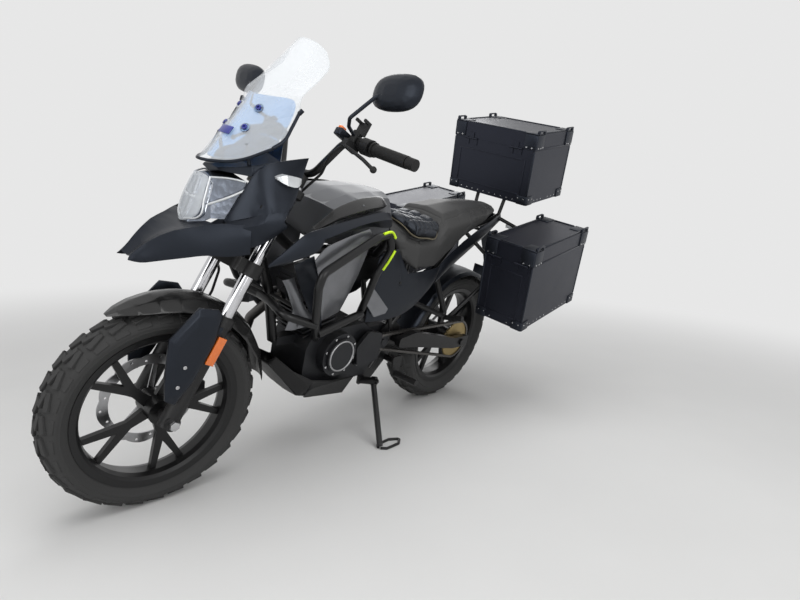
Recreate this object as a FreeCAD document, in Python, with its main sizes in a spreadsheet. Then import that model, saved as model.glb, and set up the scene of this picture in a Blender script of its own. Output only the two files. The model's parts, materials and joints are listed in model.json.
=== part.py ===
"""Adventure motorcycle with three luggage cases, parked on its side stand.

Every piece is drawn in the upright machine: x forward, y to the rider's left, z up, with the
rear axle above the origin. Its placement then leans the machine over onto the side stand.
Pieces that steer are drawn about the front axle, with z up along the fork legs.
"""
import FreeCAD, Part
import math
import os

os.makedirs("parts", exist_ok=True)
doc = FreeCAD.newDocument("motorcycle")
sheet = doc.addObject("Spreadsheet::Sheet", "sizes")

# Driving dimensions in millimetres and degrees: alias, value, meaning
SIZES = (
    ("wheel_base", 1358, "rear axle to front axle"),
    ("rake", 25.5, "steering axis back from upright"),
    ("trail", 95, "steering axis ahead of the front contact point"),
    ("lean_angle", 12.12, "lean to the left on the side stand"),
    ("steer_angle", -6.02, "handlebar turned, positive to the left"),
    ("ground_lift", 2, "raises the round tyres out of the ground after leaning"),
    ("shift_forward", -616, "puts the origin under the middle of the machine"),
    ("shift_left", -179, "puts the origin under the middle of the machine"),
    ("front_tyre_radius", 293, "front tyre, outside"),
    ("front_tyre_width", 110, "front tyre section"),
    ("rear_tyre_radius", 314, "rear tyre, outside"),
    ("rear_tyre_width", 140, "rear tyre section"),
    ("rim_radius", 216, "bead seat of both rims"),
    ("rim_wall", 9, "thickness of the rim barrel"),
    ("front_rim_width", 78, "front rim between flanges"),
    ("rear_rim_width", 102, "rear rim between flanges"),
    ("hub_radius", 36, "wheel hub, outside"),
    ("spoke_thickness", 16, "cast spoke, across the wheel"),
    ("axle_radius", 7.5, "both wheel axles"),
    ("running_gap", 0.05, "radial clearance of a shaft in its hole"),
    ("front_disc_radius", 138, "front brake disc"),
    ("rear_disc_radius", 110, "rear brake disc"),
    ("disc_thickness", 4, "brake discs"),
    ("sprocket_radius", 87, "rear sprocket, pitch circle"),
    ("front_sprocket_radius", 30, "engine sprocket, pitch circle"),
    ("chain_width", 14, "drive chain, across"),
    ("chain_height", 12, "drive chain, link height"),
    ("fork_spacing", 190, "between the fork legs"),
    ("stanchion_radius", 18.5, "chromed fork tube"),
    ("slider_radius", 26, "fork slider"),
    ("stem_radius", 15, "steering stem"),
    ("bar_radius", 11, "handlebar tube"),
    ("grip_radius", 17, "handlebar grip"),
    ("crash_bar_radius", 12.7, "crash bar tube"),
    ("frame_radius", 16, "main frame tube"),
    ("rail_radius", 11, "seat rail tube"),
    ("rack_radius", 8, "luggage rack tube"),
    ("rack_bar_radius", 6, "cross bars of the luggage rack"),
    ("panel", 3, "moulded bodywork panel"),
    ("screen", 3.5, "windscreen sheet"),
    ("sheet_metal", 2, "aluminium sheet of the cases"),
    ("top_case_length", 320, "top case, fore and aft"),
    ("top_case_width", 403, "top case, across"),
    ("top_case_height", 293, "top case, with its lid"),
    ("side_case_length", 454, "side case, fore and aft"),
    ("side_case_width", 215, "side case, across"),
    ("side_case_height", 335, "side case, with its lid"),
    ("case_pitch", 11, "cases tipped up at the rear"),
    ("lid_height", 66, "lid part of every case"),
    ("stand_radius", 11, "side stand leg"),
    ("foot_wire", 5, "wire of the side stand's foot"),
    ("hose_radius", 4, "brake hose and clutch cable"),
    ("hinge_barrel", 3.6, "lid hinges, outside of the barrel"),
    ("hinge_pin", 1.8, "lid hinges, pin"),
    ("tyre_facets", 80, "flats round each tyre"),
    ("chain_pitch", 15.875, "drive chain, pin to pin"),
)
for row, (alias, value, meaning) in enumerate(SIZES, start=1):
    sheet.set("A%d" % row, meaning)
    sheet.set("B%d" % row, str(value))
    sheet.setAlias("B%d" % row, alias)
doc.recompute()


def size(alias):
    """The value of a cell of the sheet."""
    return float(sheet.get(alias))


V = FreeCAD.Vector
TILT = math.radians(size("rake"))
LEAN = math.radians(size("lean_angle"))
FRONT_AXLE = V(size("wheel_base"), 0, size("front_tyre_radius"))
REAR_AXLE = V(0, 0, size("rear_tyre_radius"))
STEER_FOOT = V(size("wheel_base") + size("trail"), 0, 0)
STEER_AXIS = V(-math.sin(TILT), 0, math.cos(TILT))
# How far the fork legs stand ahead of the steering axis
FORK_OFFSET = ((FRONT_AXLE - STEER_FOOT).cross(STEER_AXIS)).Length
HALF_FORK = size("fork_spacing") / 2

PARKED = FreeCAD.Placement(
    V(size("shift_forward"), size("shift_left"), size("ground_lift")),
    FreeCAD.Rotation(V(1, 0, 0), -size("lean_angle")))
TURN = FreeCAD.Placement(
    V(0, 0, 0), FreeCAD.Rotation(STEER_AXIS, size("steer_angle")), STEER_FOOT)
FORK = PARKED * TURN * FreeCAD.Placement(FRONT_AXLE, FreeCAD.Rotation(V(0, 1, 0), -size("rake")))
REAR_WHEEL = PARKED * FreeCAD.Placement(REAR_AXLE, FreeCAD.Rotation())

nodes = {}


def bind(item, **cells):
    """Drives properties of an object by cells of the sheet, or by sums of them."""
    for prop, text in cells.items():
        item.setExpression(prop.replace("__", "."), text)
    return item


def node(name, item, placement):
    """Names a finished sub-part and puts it in the parked machine; returns the piece unplaced."""
    whole = doc.addObject("Part::Compound", name)
    whole.Links = [item]
    whole.Placement = placement
    nodes[name] = whole
    return item


def rounded(points, closed=True):
    """Lines and arcs through points (x, y, z, corner radius); a radius of 0 is a sharp corner."""
    spots = [V(*p[:3]) for p in points]
    radii = [p[3] if len(p) > 3 else 0 for p in points]
    count = len(spots)
    ends = []
    for i, spot in enumerate(spots):
        inner = closed or 0 < i < count - 1
        if not inner or radii[i] == 0:
            ends.append((spot, spot, None))
            continue
        back = (spots[i - 1] - spot).normalize()
        ahead = (spots[(i + 1) % count] - spot).normalize()
        half = back.getAngle(ahead) / 2
        reach = radii[i] / math.tan(half)
        middle = (back + ahead).normalize() * (radii[i] / math.sin(half) - radii[i])
        ends.append((spot + back * reach, spot + ahead * reach, spot + middle))
    edges = []
    for i in range(count if closed else count - 1):
        start, finish = ends[i][1], ends[(i + 1) % count][0]
        if (finish - start).Length > 1e-6:
            edges.append(Part.LineSegment(start, finish))
        arc = ends[(i + 1) % count]
        if arc[2] is not None and (closed or i + 1 < count - 1):
            edges.append(Part.Arc(arc[0], arc[2], arc[1]))
    return edges


def bent(points, bend):
    """A path through points with every inner corner bent to one radius."""
    return [tuple(p) + ((bend,) if 0 < i < len(points) - 1 else (0,)) for i, p in enumerate(points)]


def tube(name, points, radius, bend=40):
    """A round bar along straight runs joined by tangent bends."""
    path = doc.addObject("Part::Feature", name + "_path")
    path.Shape = Part.Wire([e.toShape() for e in rounded(bent(points, bend), closed=False)])
    ring = bind(doc.addObject("Part::Circle", name + "_ring"), Radius="sizes." + radius)
    start = V(*points[0])
    heading = V(*points[1]) - start
    ring.Placement = FreeCAD.Placement(start, FreeCAD.Rotation(V(0, 0, 1), heading))
    sweep = doc.addObject("Part::Sweep", name)
    sweep.Sections = [ring]
    sweep.Spine = (path, ["Edge%d" % (i + 1) for i in range(len(path.Shape.Edges))])
    sweep.Solid = True
    sweep.Frenet = False
    return sweep


def fuse(name, items):
    """Pieces welded or moulded together, or like pieces that share a sub-part."""
    whole = doc.addObject("Part::MultiFuse", name)
    whole.Shapes = items
    return whole


def cut(name, base, tool):
    left = doc.addObject("Part::Cut", name)
    left.Base = base
    left.Tool = tool
    return left


def mirrored(name, item):
    """The same piece on the machine's other side."""
    other = doc.addObject("Part::Mirroring", name)
    other.Source = item
    other.Normal = V(0, 1, 0)
    return other


def both_sides(name, item):
    return fuse(name, [item, mirrored(name + "_mirrored", item)])


def cylinder(name, radius, length, foot, axis, extra=0):
    """A round bar from its foot along an axis; radius is a cell, length a number or a cell."""
    bar = doc.addObject("Part::Cylinder", name)
    if isinstance(radius, str):
        bind(bar, Radius="sizes.%s + %s" % (radius, extra))
    else:
        bar.Radius = radius
    bar.Height = length
    bar.Placement = FreeCAD.Placement(V(*foot), FreeCAD.Rotation(V(0, 0, 1), V(*axis)))
    return bar


def block(name, low, high):
    """A box between two corners."""
    box = doc.addObject("Part::Box", name)
    box.Length, box.Width, box.Height = [b - a for a, b in zip(low, high)]
    box.Placement.Base = V(*low)
    return box


def body_sketch(name, plane, edges, offset=0):
    body = doc.addObject("PartDesign::Body", name)
    drawing = body.newObject("Sketcher::SketchObject", name + "_outline")
    origin_plane = [f for f in body.Origin.OriginFeatures if f.Role == plane][0]
    drawing.AttachmentSupport = (origin_plane, [""])
    drawing.MapMode = "FlatFace"
    drawing.AttachmentOffset = FreeCAD.Placement(V(0, 0, offset), FreeCAD.Rotation())
    for edge in edges:
        drawing.addGeometry(edge)
    return body, drawing


def plate(name, outline, thickness, plane="XZ_Plane", offset=0, both=True):
    """A flat piece: outline of (u, v, corner radius) padded by a cell or a number.

    On the XZ plane the piece lies across the machine and its offset counts towards -y.
    """
    edges = rounded([(p[0], p[1], 0) + tuple(p[2:]) for p in outline])
    body, drawing = body_sketch(name, plane, edges, offset)
    pad = body.newObject("PartDesign::Pad", name + "_pad")
    pad.Profile = drawing
    if both:
        pad.SideType = "Symmetric"
    if isinstance(thickness, str):
        bind(pad, Length="sizes." + thickness)
    else:
        pad.Length = thickness
    return body


def turned(name, outline):
    """A piece turned about the y axis, its outline given as (radius, y, corner radius)."""
    edges = rounded([(p[0], p[1], 0) + tuple(p[2:]) for p in outline])
    body, drawing = body_sketch(name, "XY_Plane", edges)
    spin = body.newObject("PartDesign::Revolution", name + "_turn")
    spin.Profile = drawing
    spin.ReferenceAxis = (drawing, ["V_Axis"])
    spin.Angle = 360
    return body


def loft(name, sections, ruled=True):
    """A solid through closed sections, each a list of points (x, y, z)."""
    wires = []
    for i, points in enumerate(sections):
        wire = doc.addObject("Part::Feature", "%s_section_%d" % (name, i + 1))
        wire.Shape = Part.makePolygon([V(*p) for p in points] + [V(*points[0])])
        wires.append(wire)
    skin = doc.addObject("Part::Loft", name)
    skin.Sections = wires
    skin.Solid = True
    skin.Ruled = ruled
    return skin


def hull_loft(name, stations):
    """A solid symmetric about y = 0 through stations of (x, (y, z) from the top round to the keel)."""
    sections = []
    for x, half in stations:
        left = [(x, y, z) for y, z in half]
        right = [(x, -y, z) for y, z in reversed(half) if y > 0]
        sections.append(left + right)
    return loft(name, sections)


def eased(points, fine):
    """Points on a smooth curve through the given ones, with fine steps from one to the next."""
    path = []
    last = len(points) - 1
    for i in range(last):
        before, start, finish, after = (points[max(i - 1, 0)], points[i], points[i + 1],
                                        points[min(i + 2, last)])
        for k in range(fine):
            t = k / fine
            path.append((start * 2 + (finish - before) * t
                         + (before * 2 - start * 5 + finish * 4 - after) * t ** 2
                         + (start * 3 - before - finish * 3 + after) * t ** 3) / 2)
    return path + [points[-1]]


def closed(name, faces):
    """The solid inside a closed set of plane faces."""
    shell = Part.Shell(faces)
    shell.sewShape()
    solid = Part.Solid(shell)
    if solid.Volume < 0:
        solid.reverse()
    skin = doc.addObject("Part::Feature", name)
    skin.Shape = solid
    return skin


def panel(name, rows, inward, fine=1, across=1):
    """A moulded panel through rows of points on its outer face, as thick as the vector inward.

    Creases run from row to row; fine rounds their course, and across rounds each row as well.
    """
    step = V(*inward)
    outer = [eased([V(*p) for p in row], across) for row in rows]
    outer = [list(row) for row in zip(*[eased(list(line), fine) for line in zip(*outer)])]
    inner = [[p + step for p in row] for row in outer]
    last_row, last = len(outer) - 1, len(outer[0]) - 1
    faces = []

    def facet(a, b, c, d):
        for corners in ((a, b, c), (a, c, d)):
            if (corners[1] - corners[0]).cross(corners[2] - corners[0]).Length > 1e-6:
                faces.append(Part.Face(Part.makePolygon(list(corners) + [corners[0]])))

    for i in range(last_row):
        for j in range(last):
            facet(outer[i][j], outer[i][j + 1], outer[i + 1][j + 1], outer[i + 1][j])
            facet(inner[i][j], inner[i + 1][j], inner[i + 1][j + 1], inner[i][j + 1])
        facet(outer[i][0], outer[i + 1][0], inner[i + 1][0], inner[i][0])
        facet(outer[i][last], inner[i][last], inner[i + 1][last], outer[i + 1][last])
    for j in range(last):
        facet(outer[0][j], inner[0][j], inner[0][j + 1], outer[0][j + 1])
        facet(outer[last_row][j], outer[last_row][j + 1], inner[last_row][j + 1], inner[last_row][j])
    return closed(name, faces)


# Wheels

# How far tyre walls and rim flanges lean out for each millimetre of radius
FLARE = 0.6


def tyre(name, radius, width, rim_width):
    """The ring of a tubeless tyre in flats round its axle: a round crown, leaning walls and two beads."""
    count = int(size("tyre_facets"))
    # Corners lie this much further out than the middles of the flats, which rest on the rim
    round_off = 1 / math.cos(math.pi / count)
    half = size(width) / 2
    bead = size("rim_radius") * round_off
    seat = size(rim_width) / 2 - 6
    widest = bead + (half - seat) * round_off / FLARE
    # Over the crown: share of the half width, share of the height from the widest place to the crown
    over = [(half * out, widest + (size(radius) - widest) * up) for out, up in
            ((1.0, 0), (0.87, 0.5), (0.53, 0.87), (0.17, 1.0))]
    left = [(seat, bead)] + over
    profile = left + [(-y, r) for y, r in reversed(left)]
    faces = []
    for i in range(count):
        here, there = [[V(r * math.cos(a), y, r * math.sin(a)) for y, r in profile + profile[:1]]
                       for a in (2 * math.pi * i / count, 2 * math.pi * (i + 1) / count)]
        for k in range(len(profile)):
            corners = [here[k], here[k + 1], there[k + 1], there[k]]
            faces.append(Part.Face(Part.makePolygon(corners + corners[:1])))
    return closed(name, faces)


def rim(name, rim_width, hub_length):
    """A cast wheel: barrel with two flanges, hub, and five spokes that fork before the barrel."""
    outer = size("rim_radius")
    half = size(rim_width) / 2
    wall = size("rim_wall")
    barrel = turned(name + "_barrel", [
        (outer, -half + 6), (outer + 12, -half + 6 - 12 * FLARE), (outer + 12, -half - 4), (outer - 5, -half),
        (outer - wall - 4, -half + 8), (outer - wall - 9, -half * 0.4), (outer - wall - 9, half * 0.4),
        (outer - wall - 4, half - 8), (outer - 5, half), (outer + 12, half + 4),
        (outer + 12, half - 6 + 12 * FLARE), (outer, half - 6)])
    hub = cylinder(name + "_hub", "hub_radius", hub_length, (0, hub_length / 2, 0), (0, -1, 0))
    bore = cylinder(name + "_bore", "axle_radius", hub_length + 4, (0, hub_length / 2 + 2, 0),
                    (0, -1, 0), extra=size("running_gap"))
    root = size("hub_radius") - 6
    fork_at = 96
    end = outer - wall - 6
    spread = math.radians(12)
    spokes = []
    for i in range(5):
        # One spoke: half widths at the root and at the fork, then its two tines
        outline = [(root, -17), (fork_at - 14, -12),
                   (end * math.cos(spread), -end * math.sin(spread) - 9),
                   (end * math.cos(spread) + 2, -end * math.sin(spread) + 8),
                   (fork_at + 22, 0),
                   (end * math.cos(spread) + 2, end * math.sin(spread) - 8),
                   (end * math.cos(spread), end * math.sin(spread) + 9),
                   (fork_at - 14, 12), (root, 17)]
        spoke = plate("%s_spoke_%d" % (name, i + 1), outline, "spoke_thickness")
        spoke.Placement = FreeCAD.Placement(V(0, 0, 0), FreeCAD.Rotation(V(0, 1, 0), 72 * i - 16))
        spokes.append(spoke)
    return cut(name, fuse(name + "_casting", [barrel, hub] + spokes), bore)


def disc(name, radius, inner, y):
    """A wave-edged brake disc with its carrier, bolted to the hub at y."""
    rim_radius = size(radius)
    waves = 10
    edges = []
    step = math.pi / waves
    for i in range(waves):
        angle = 2 * i * step
        crest = [V(math.cos(a) * r, math.sin(a) * r, 0) for a, r in
                 ((angle - step, rim_radius - 7), (angle, rim_radius), (angle + step, rim_radius - 7))]
        edges.append(Part.Arc(*crest))
    body, drawing = body_sketch(name + "_ring", "XZ_Plane", edges, -y)
    pad = body.newObject("PartDesign::Pad", name + "_pad")
    pad.Profile = drawing
    pad.SideType = "Symmetric"
    bind(pad, Length="sizes.disc_thickness")
    side = 1 if y > 0 else -1
    hole = cylinder(name + "_hole", inner, 20, (0, y + 10, 0), (0, -1, 0))
    # Two rings of drilled holes, each beside a wave of the edge
    band = rim_radius - inner
    drills = []
    for i in range(2 * waves):
        angle = (i + 0.25) * step
        reach = inner + band * (0.34 if i % 2 else 0.66)
        drills.append(cylinder("%s_drill_%d" % (name, i), 3.4, 20,
                               (reach * math.cos(angle), y + 10, reach * math.sin(angle)), (0, -1, 0)))
    ring = cut(name + "_band", body, fuse(name + "_drills", [hole] + drills))
    arms = []
    for i in range(5):
        arm = plate("%s_arm_%d" % (name, i + 1), [(26, -9), (inner + 8, -6), (inner + 8, 6), (26, 9)],
                    "disc_thickness", offset=-y)
        arm.Placement = FreeCAD.Placement(V(0, 0, 0), FreeCAD.Rotation(V(0, 1, 0), 72 * i))
        arms.append(arm)
    seat = cylinder(name + "_seat", 34, size("disc_thickness"), (0, y + 2, 0), (0, -1, 0))
    eye = cylinder(name + "_eye", 20, 20, (0, y + 10, 0), (0, -1, 0))
    return cut(name, fuse(name + "_whole", [ring, seat] + arms), eye)


FRONT_HUB = 92
REAR_HUB = 130
FRONT_DISC_Y = -FRONT_HUB / 2 - size("disc_thickness") / 2
REAR_DISC_Y = -REAR_HUB / 2 - size("disc_thickness") / 2
SPROCKET_Y = 92

node("front_tyre", tyre("front_tyre_ring", "front_tyre_radius", "front_tyre_width", "front_rim_width"),
     FORK)
node("front_rim", rim("front_rim_cast", "front_rim_width", FRONT_HUB), FORK)
node("front_disc", disc("front_disc_steel", "front_disc_radius", 108, FRONT_DISC_Y), FORK)
node("rear_tyre", tyre("rear_tyre_ring", "rear_tyre_radius", "rear_tyre_width", "rear_rim_width"),
     REAR_WHEEL)
node("rear_rim", rim("rear_rim_cast", "rear_rim_width", REAR_HUB), REAR_WHEEL)
node("rear_disc", disc("rear_disc_steel", "rear_disc_radius", 80, REAR_DISC_Y), REAR_WHEEL)


def rear_sprocket():
    """A toothed ring on a carrier that fills the space between hub and chain line."""
    teeth = 43
    pitch = size("sprocket_radius")
    edges = []
    points = []
    for i in range(teeth):
        for share, radius in ((0, pitch - 5), (0.3, pitch + 4), (0.7, pitch + 4)):
            angle = 2 * math.pi * (i + share) / teeth
            points.append(V(radius * math.cos(angle), radius * math.sin(angle), 0))
    for a, b in zip(points, points[1:] + points[:1]):
        edges.append(Part.LineSegment(a, b))
    body, drawing = body_sketch("sprocket_ring", "XZ_Plane", edges, -SPROCKET_Y)
    pad = body.newObject("PartDesign::Pad", "sprocket_pad")
    pad.Profile = drawing
    pad.SideType = "Symmetric"
    pad.Length = 6
    carrier = cylinder("sprocket_carrier", 52, SPROCKET_Y - 3 - REAR_HUB / 2,
                       (0, REAR_HUB / 2, 0), (0, 1, 0))
    bore = cylinder("sprocket_bore", 20, 60, (0, REAR_HUB / 2 - 10, 0), (0, 1, 0))
    return cut("sprocket_cut", fuse("sprocket_whole", [body, carrier]), bore)


node("rear_sprocket", rear_sprocket(), REAR_WHEEL)

# Steering: heights along the fork legs, above the front axle

SLIDER_TOP = 318
LOWER_CLAMP = (441, 482)
UPPER_CLAMP = (694, 716)


def fork_clamps():
    """Two clamps on one stem, with the handlebar's pedestals on the upper one."""
    pieces = []
    for name, (low, high), ear in (("lower_clamp", LOWER_CLAMP, 27), ("upper_clamp", UPPER_CLAMP, 27)):
        outline = [(-FORK_OFFSET - 24, -14, 12), (-FORK_OFFSET - 24, 14, 12), (-ear + 6, HALF_FORK + ear, 20),
                   (ear, HALF_FORK + ear, 20), (ear, HALF_FORK - ear, 12), (-8, 0, 30),
                   (ear, -HALF_FORK + ear, 12), (ear, -HALF_FORK - ear, 20), (-ear + 6, -HALF_FORK - ear, 20)]
        clamp = plate(name, outline, high - low, "XY_Plane", low, both=False)
        pieces.append(clamp)
    pieces.append(cylinder("steering_stem", "stem_radius", UPPER_CLAMP[1] + 6 - LOWER_CLAMP[0],
                           (-FORK_OFFSET, 0, LOWER_CLAMP[0]), (0, 0, 1)))
    for side in (1, -1):
        pieces.append(cylinder("bar_pedestal_%s" % ("left" if side > 0 else "right"), 15, 62,
                               (-FORK_OFFSET, side * 42, UPPER_CLAMP[1] - 2), (0, 0, 1)))
    whole = fuse("fork_clamps_whole", pieces)
    bores = [cylinder("clamp_bore_%d" % i, "stanchion_radius", 400, (0, side * HALF_FORK, 420), (0, 0, 1))
             for i, side in enumerate((1, -1))]
    bores.append(cylinder("bar_bore", "bar_radius", 140, (-FORK_OFFSET, 70, 782), (0, -1, 0)))
    return cut("fork_clamps_cut", whole, fuse("fork_clamps_bores", bores))


clamps = node("fork_clamps", fork_clamps(), FORK)
node("fork_tubes", fuse("fork_tubes_pair", [
    cylinder("stanchion_%d" % i, "stanchion_radius", 724 - SLIDER_TOP,
             (0, side * HALF_FORK, SLIDER_TOP), (0, 0, 1)) for i, side in enumerate((1, -1))]), FORK)


def fork_sliders():
    """Sliders with dust-seal collars and axle feet, and the axle clamped between them."""
    pieces = []
    for i, side in enumerate((1, -1)):
        y = side * HALF_FORK
        pieces.append(cylinder("slider_%d" % i, "slider_radius", SLIDER_TOP + 18, (0, y, -18), (0, 0, 1)))
        pieces.append(cylinder("seal_%d" % i, 29, 26, (0, y, SLIDER_TOP - 30), (0, 0, 1)))
        pieces.append(cylinder("axle_foot_%d" % i, 22, 46, (0, y - 23, 0), (0, 1, 0)))
    pieces.append(cylinder("front_axle", "axle_radius", 2 * HALF_FORK + 56, (0, -HALF_FORK - 28, 0), (0, 1, 0)))
    for i, side in enumerate((1, -1)):
        spacer_length = HALF_FORK - 23 - FRONT_HUB / 2 - 1
        low = FRONT_HUB / 2 + 1 if side > 0 else -HALF_FORK + 23
        pieces.append(cylinder("axle_spacer_%d" % i, 14, spacer_length, (0, low, 0), (0, 1, 0)))
    return fuse("fork_sliders_whole", pieces)


sliders = node("fork_sliders", fork_sliders(), FORK)

# Handlebar route from the middle to the left end: forward, left, up
BAR_ROUTE = ((-FORK_OFFSET, 0, 782), (-FORK_OFFSET, 78, 782), (-34, 150, 898), (-39, 232, 897),
             (-59, 400, 884))


def handlebar():
    left = tube("bar_left", BAR_ROUTE, "bar_radius", 45)
    return fuse("handlebar_whole", [left, mirrored("bar_right", left)])


bar = node("handlebar", handlebar(), FORK)


def along(start, finish, share):
    """A point part of the way between two points."""
    return tuple(a + (b - a) * share for a, b in zip(start, finish))


def grips():
    """Rubber grips and the weights at the bar's ends, bored for the bar."""
    inner, outer = V(*BAR_ROUTE[3]), V(*BAR_ROUTE[4])
    heading = (outer - inner).normalize()
    grip = cylinder("grip", "grip_radius", 122, inner + heading * 34, heading)
    collar = cylinder("grip_collar", 20, 6, inner + heading * 31, heading)
    weight = cylinder("bar_weight", 16, 26, inner + heading * 158, heading)
    return cut("grips_bored", both_sides("grips_pair", fuse("grip_whole", [grip, collar, weight])), bar)


node("grips", grips(), FORK)


def bar_controls():
    """Switch boxes, lever perches and levers, and the brake fluid pot on the right."""
    inner, outer = V(*BAR_ROUTE[3]), V(*BAR_ROUTE[4])
    heading = (outer - inner).normalize()
    box = cylinder("switch_box", 23, 30, inner - heading * 6, heading)
    perch = cylinder("lever_perch", 18, 22, inner - heading * 34, heading)
    arm = block("lever_arm", (-40, 193, 868), (8, 213, 890))
    lever = tube("lever_blade", ((2, 196, 872), (6, 220, 866), (4, 300, 842), (3, 352, 822)), "foot_wire", 20)
    ball = doc.addObject("Part::Sphere", "lever_ball")
    ball.Radius = 9
    ball.Placement.Base = V(3, 353, 822)
    left = fuse("control_left", [box, perch, arm, lever, ball])
    pot = cylinder("brake_pot", 18, 34, (12, -168, 872), (0.25, 0, 1))
    neck = block("brake_pot_neck", (-6, -196, 874), (10, -170, 884))
    whole = fuse("bar_controls_whole", [left, mirrored("control_right", left), pot, neck])
    return cut("bar_controls_bored", whole, bar)


controls = node("bar_controls", bar_controls(), FORK)


def phone_holder():
    """A small claw on the left of the handlebar."""
    # Post, plate and three fingers: low corner, high corner
    boxes = (((-43, 175, 908), (-30, 187, 930)), ((-46, 160, 926), (-39, 202, 966)),
             ((-46, 160, 960), (-20, 167, 968)), ((-46, 195, 960), (-20, 202, 968)), ((-46, 172, 922), (-22, 190, 929)))
    collar = cylinder("holder_collar", 17, 18, (-36, 172, 897.6), (0, 1, 0))
    jaws = [block("holder_box_%d" % i, low, high) for i, (low, high) in enumerate(boxes)]
    return cut("holder_bored", fuse("holder_whole", [collar] + jaws), bar)


node("phone_holder", phone_holder(), FORK)


def mirrors():
    """Mirror heads on bent stems that screw into the lever perches."""
    stem = tube("mirror_stem", ((-12, 203, 890), (-12, 203, 908), (34, 222, 910), (64, 250, 918),
                                (62, 300, 985), (56, 330, 1006)), "foot_wire", 12)
    half_w, half_h = 84, 46
    # Rounded-corner outline at 16 places round the head, then its depth and share of that outline
    outline = []
    for i in range(16):
        a = 2 * math.pi * i / 16
        flat = (abs(math.cos(a)) ** 3 + abs(math.sin(a)) ** 3) ** (-1 / 3)
        outline.append((half_w * flat * math.cos(a), half_h * flat * math.sin(a) + 6 * math.cos(a)))
    head = loft("mirror_head", [[(dx, share * y, share * z) for y, z in outline] for dx, share in
                                ((-5, 0.94), (-2, 1.0), (6, 1.0), (16, 0.84), (23, 0.6), (27, 0.28))])
    head.Placement = FreeCAD.Placement(V(46, 350, 1012), FreeCAD.Rotation(V(0, 1, 0), 18))
    return both_sides("mirrors_pair", fuse("mirror_whole", [stem, head]))


node("mirrors", mirrors(), FORK)


def front_fender():
    """A crowned strip round the tyre, pointed at the nose: angle about the axle, radius, half width."""
    stations = ((38, 318, 12, 4), (43, 323, 36, 12), (50, 329, 54, 26), (60, 337, 63, 38), (70, 344, 66, 46),
                (84, 351, 67, 50), (100, 352, 67, 52), (114, 346, 66, 48), (130, 337, 63, 36),
                (146, 327, 56, 22))
    thick = size("panel")
    sections = []
    for degrees, radius, half, drop in stations:
        a = math.radians(degrees)
        out = V(math.cos(a), 0, math.sin(a))
        side = V(0, 1, 0)
        outer = [out * (radius - drop) + side * half, out * (radius - drop * 0.25) + side * half * 0.62,
                 out * radius, out * (radius - drop * 0.25) - side * half * 0.62,
                 out * (radius - drop) - side * half]
        inner = [out * (radius - drop) - side * (half - thick),
                 out * (radius - drop * 0.25 - thick) - side * half * 0.6, out * (radius - thick),
                 out * (radius - drop * 0.25 - thick) + side * half * 0.6,
                 out * (radius - drop) + side * (half - thick)]
        sections.append([tuple(p) for p in outer + inner])
    return loft("fender_strip", sections)


node("front_fender", cut("fender_seated", front_fender(), sliders), FORK)


def fork_guards():
    """The wide covers outside each slider, their outer faces chamfered all round."""
    outline = ((102, 314), (134, 211), (98, 120), (62, 58), (32, 55), (14, 120), (12, 250), (30, 318),
               (49, 329))
    y = HALF_FORK + size("slider_radius") + 0.5
    middle = (62, 200)
    # Inner face, edge of the chamfer and outer face: distance out, share of the outline about its middle
    left = loft("guard_left", [
        [(middle[0] + share * (a - middle[0]), y + out, middle[1] + share * (b - middle[1])) for a, b in outline]
        for out, share in ((0, 1.0), (7, 1.0), (14, 0.86), (17, 0.6))])
    reach = block("guard_link", (8, HALF_FORK + 4, 268), (32, y + 4, 288))
    hole = cylinder("guard_hole", "slider_radius", 500, (0, HALF_FORK, 0), (0, 0, 1), extra=0.3)
    return both_sides("guards_pair", cut("guard_cut", fuse("guard_whole", [left, reach]), hole))


node("fork_guards", fork_guards(), FORK)


def front_caliper():
    """A sliding caliper astride the disc, behind the right slider."""
    y = FRONT_DISC_Y
    gap = size("disc_thickness") / 2 + 2
    # Boxes about the disc with x running outwards from the axle: low corner, high corner
    boxes = (((98, y - 34, -34), (156, y - gap, 34)), ((98, y + gap, -30), (156, y + 20, 30)),
             ((143, y - 30, -26), (160, y + 20, 26)), ((10, y - 36, -14), (104, y - 24, 14)))
    whole = fuse("caliper_whole", [block("caliper_box_%d" % i, low, high) for i, (low, high) in enumerate(boxes)])
    whole.Placement = FreeCAD.Placement(V(0, 0, 0), FreeCAD.Rotation(V(0, 1, 0), -152))
    return cut("caliper_cut", whole, sliders)


caliper = node("front_caliper", front_caliper(), FORK)

# The hose runs down outside the right leg, the cable from the left perch to the upper clamp
node("brake_hose", cut("hose_seated", tube("hose_run", (
    (2, -184, 878), (-6, -152, 828), (-2, -130, 774), (0, -130, 470), (-44, -116, 416), (-46, -98, 350),
    (-44, -98, 240), (-62, -92, 150), (-98, -84, 84)), "hose_radius", 26), fuse("hose_seats", [caliper, controls])),
     FORK)
node("clutch_cable", cut("cable_seated", tube("cable_run", (
    (2, 202, 878), (-2, 160, 838), (-34, 122, 790), (-34, 66, 704)), "hose_radius", 34),
    fuse("cable_seats", [clamps, controls])), FORK)

# Chassis

PIVOT = V(440, 0, 388)
PIVOT_TUBE = 17
HEAD_LOW, HEAD_HIGH = 488, 688
# The side stand turns about a pin that points left, up and a little back
STAND_PIVOT = V(552, 112, 236)
STAND_AXIS = V(-0.339, 0.905, 0.258).normalize()


def fork_point(forward, left, up):
    """A point given about the front axle, in the straight-ahead machine."""
    return FRONT_AXLE + V(math.cos(TILT), 0, math.sin(TILT)) * forward + V(0, left, 0) + STEER_AXIS * up


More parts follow.
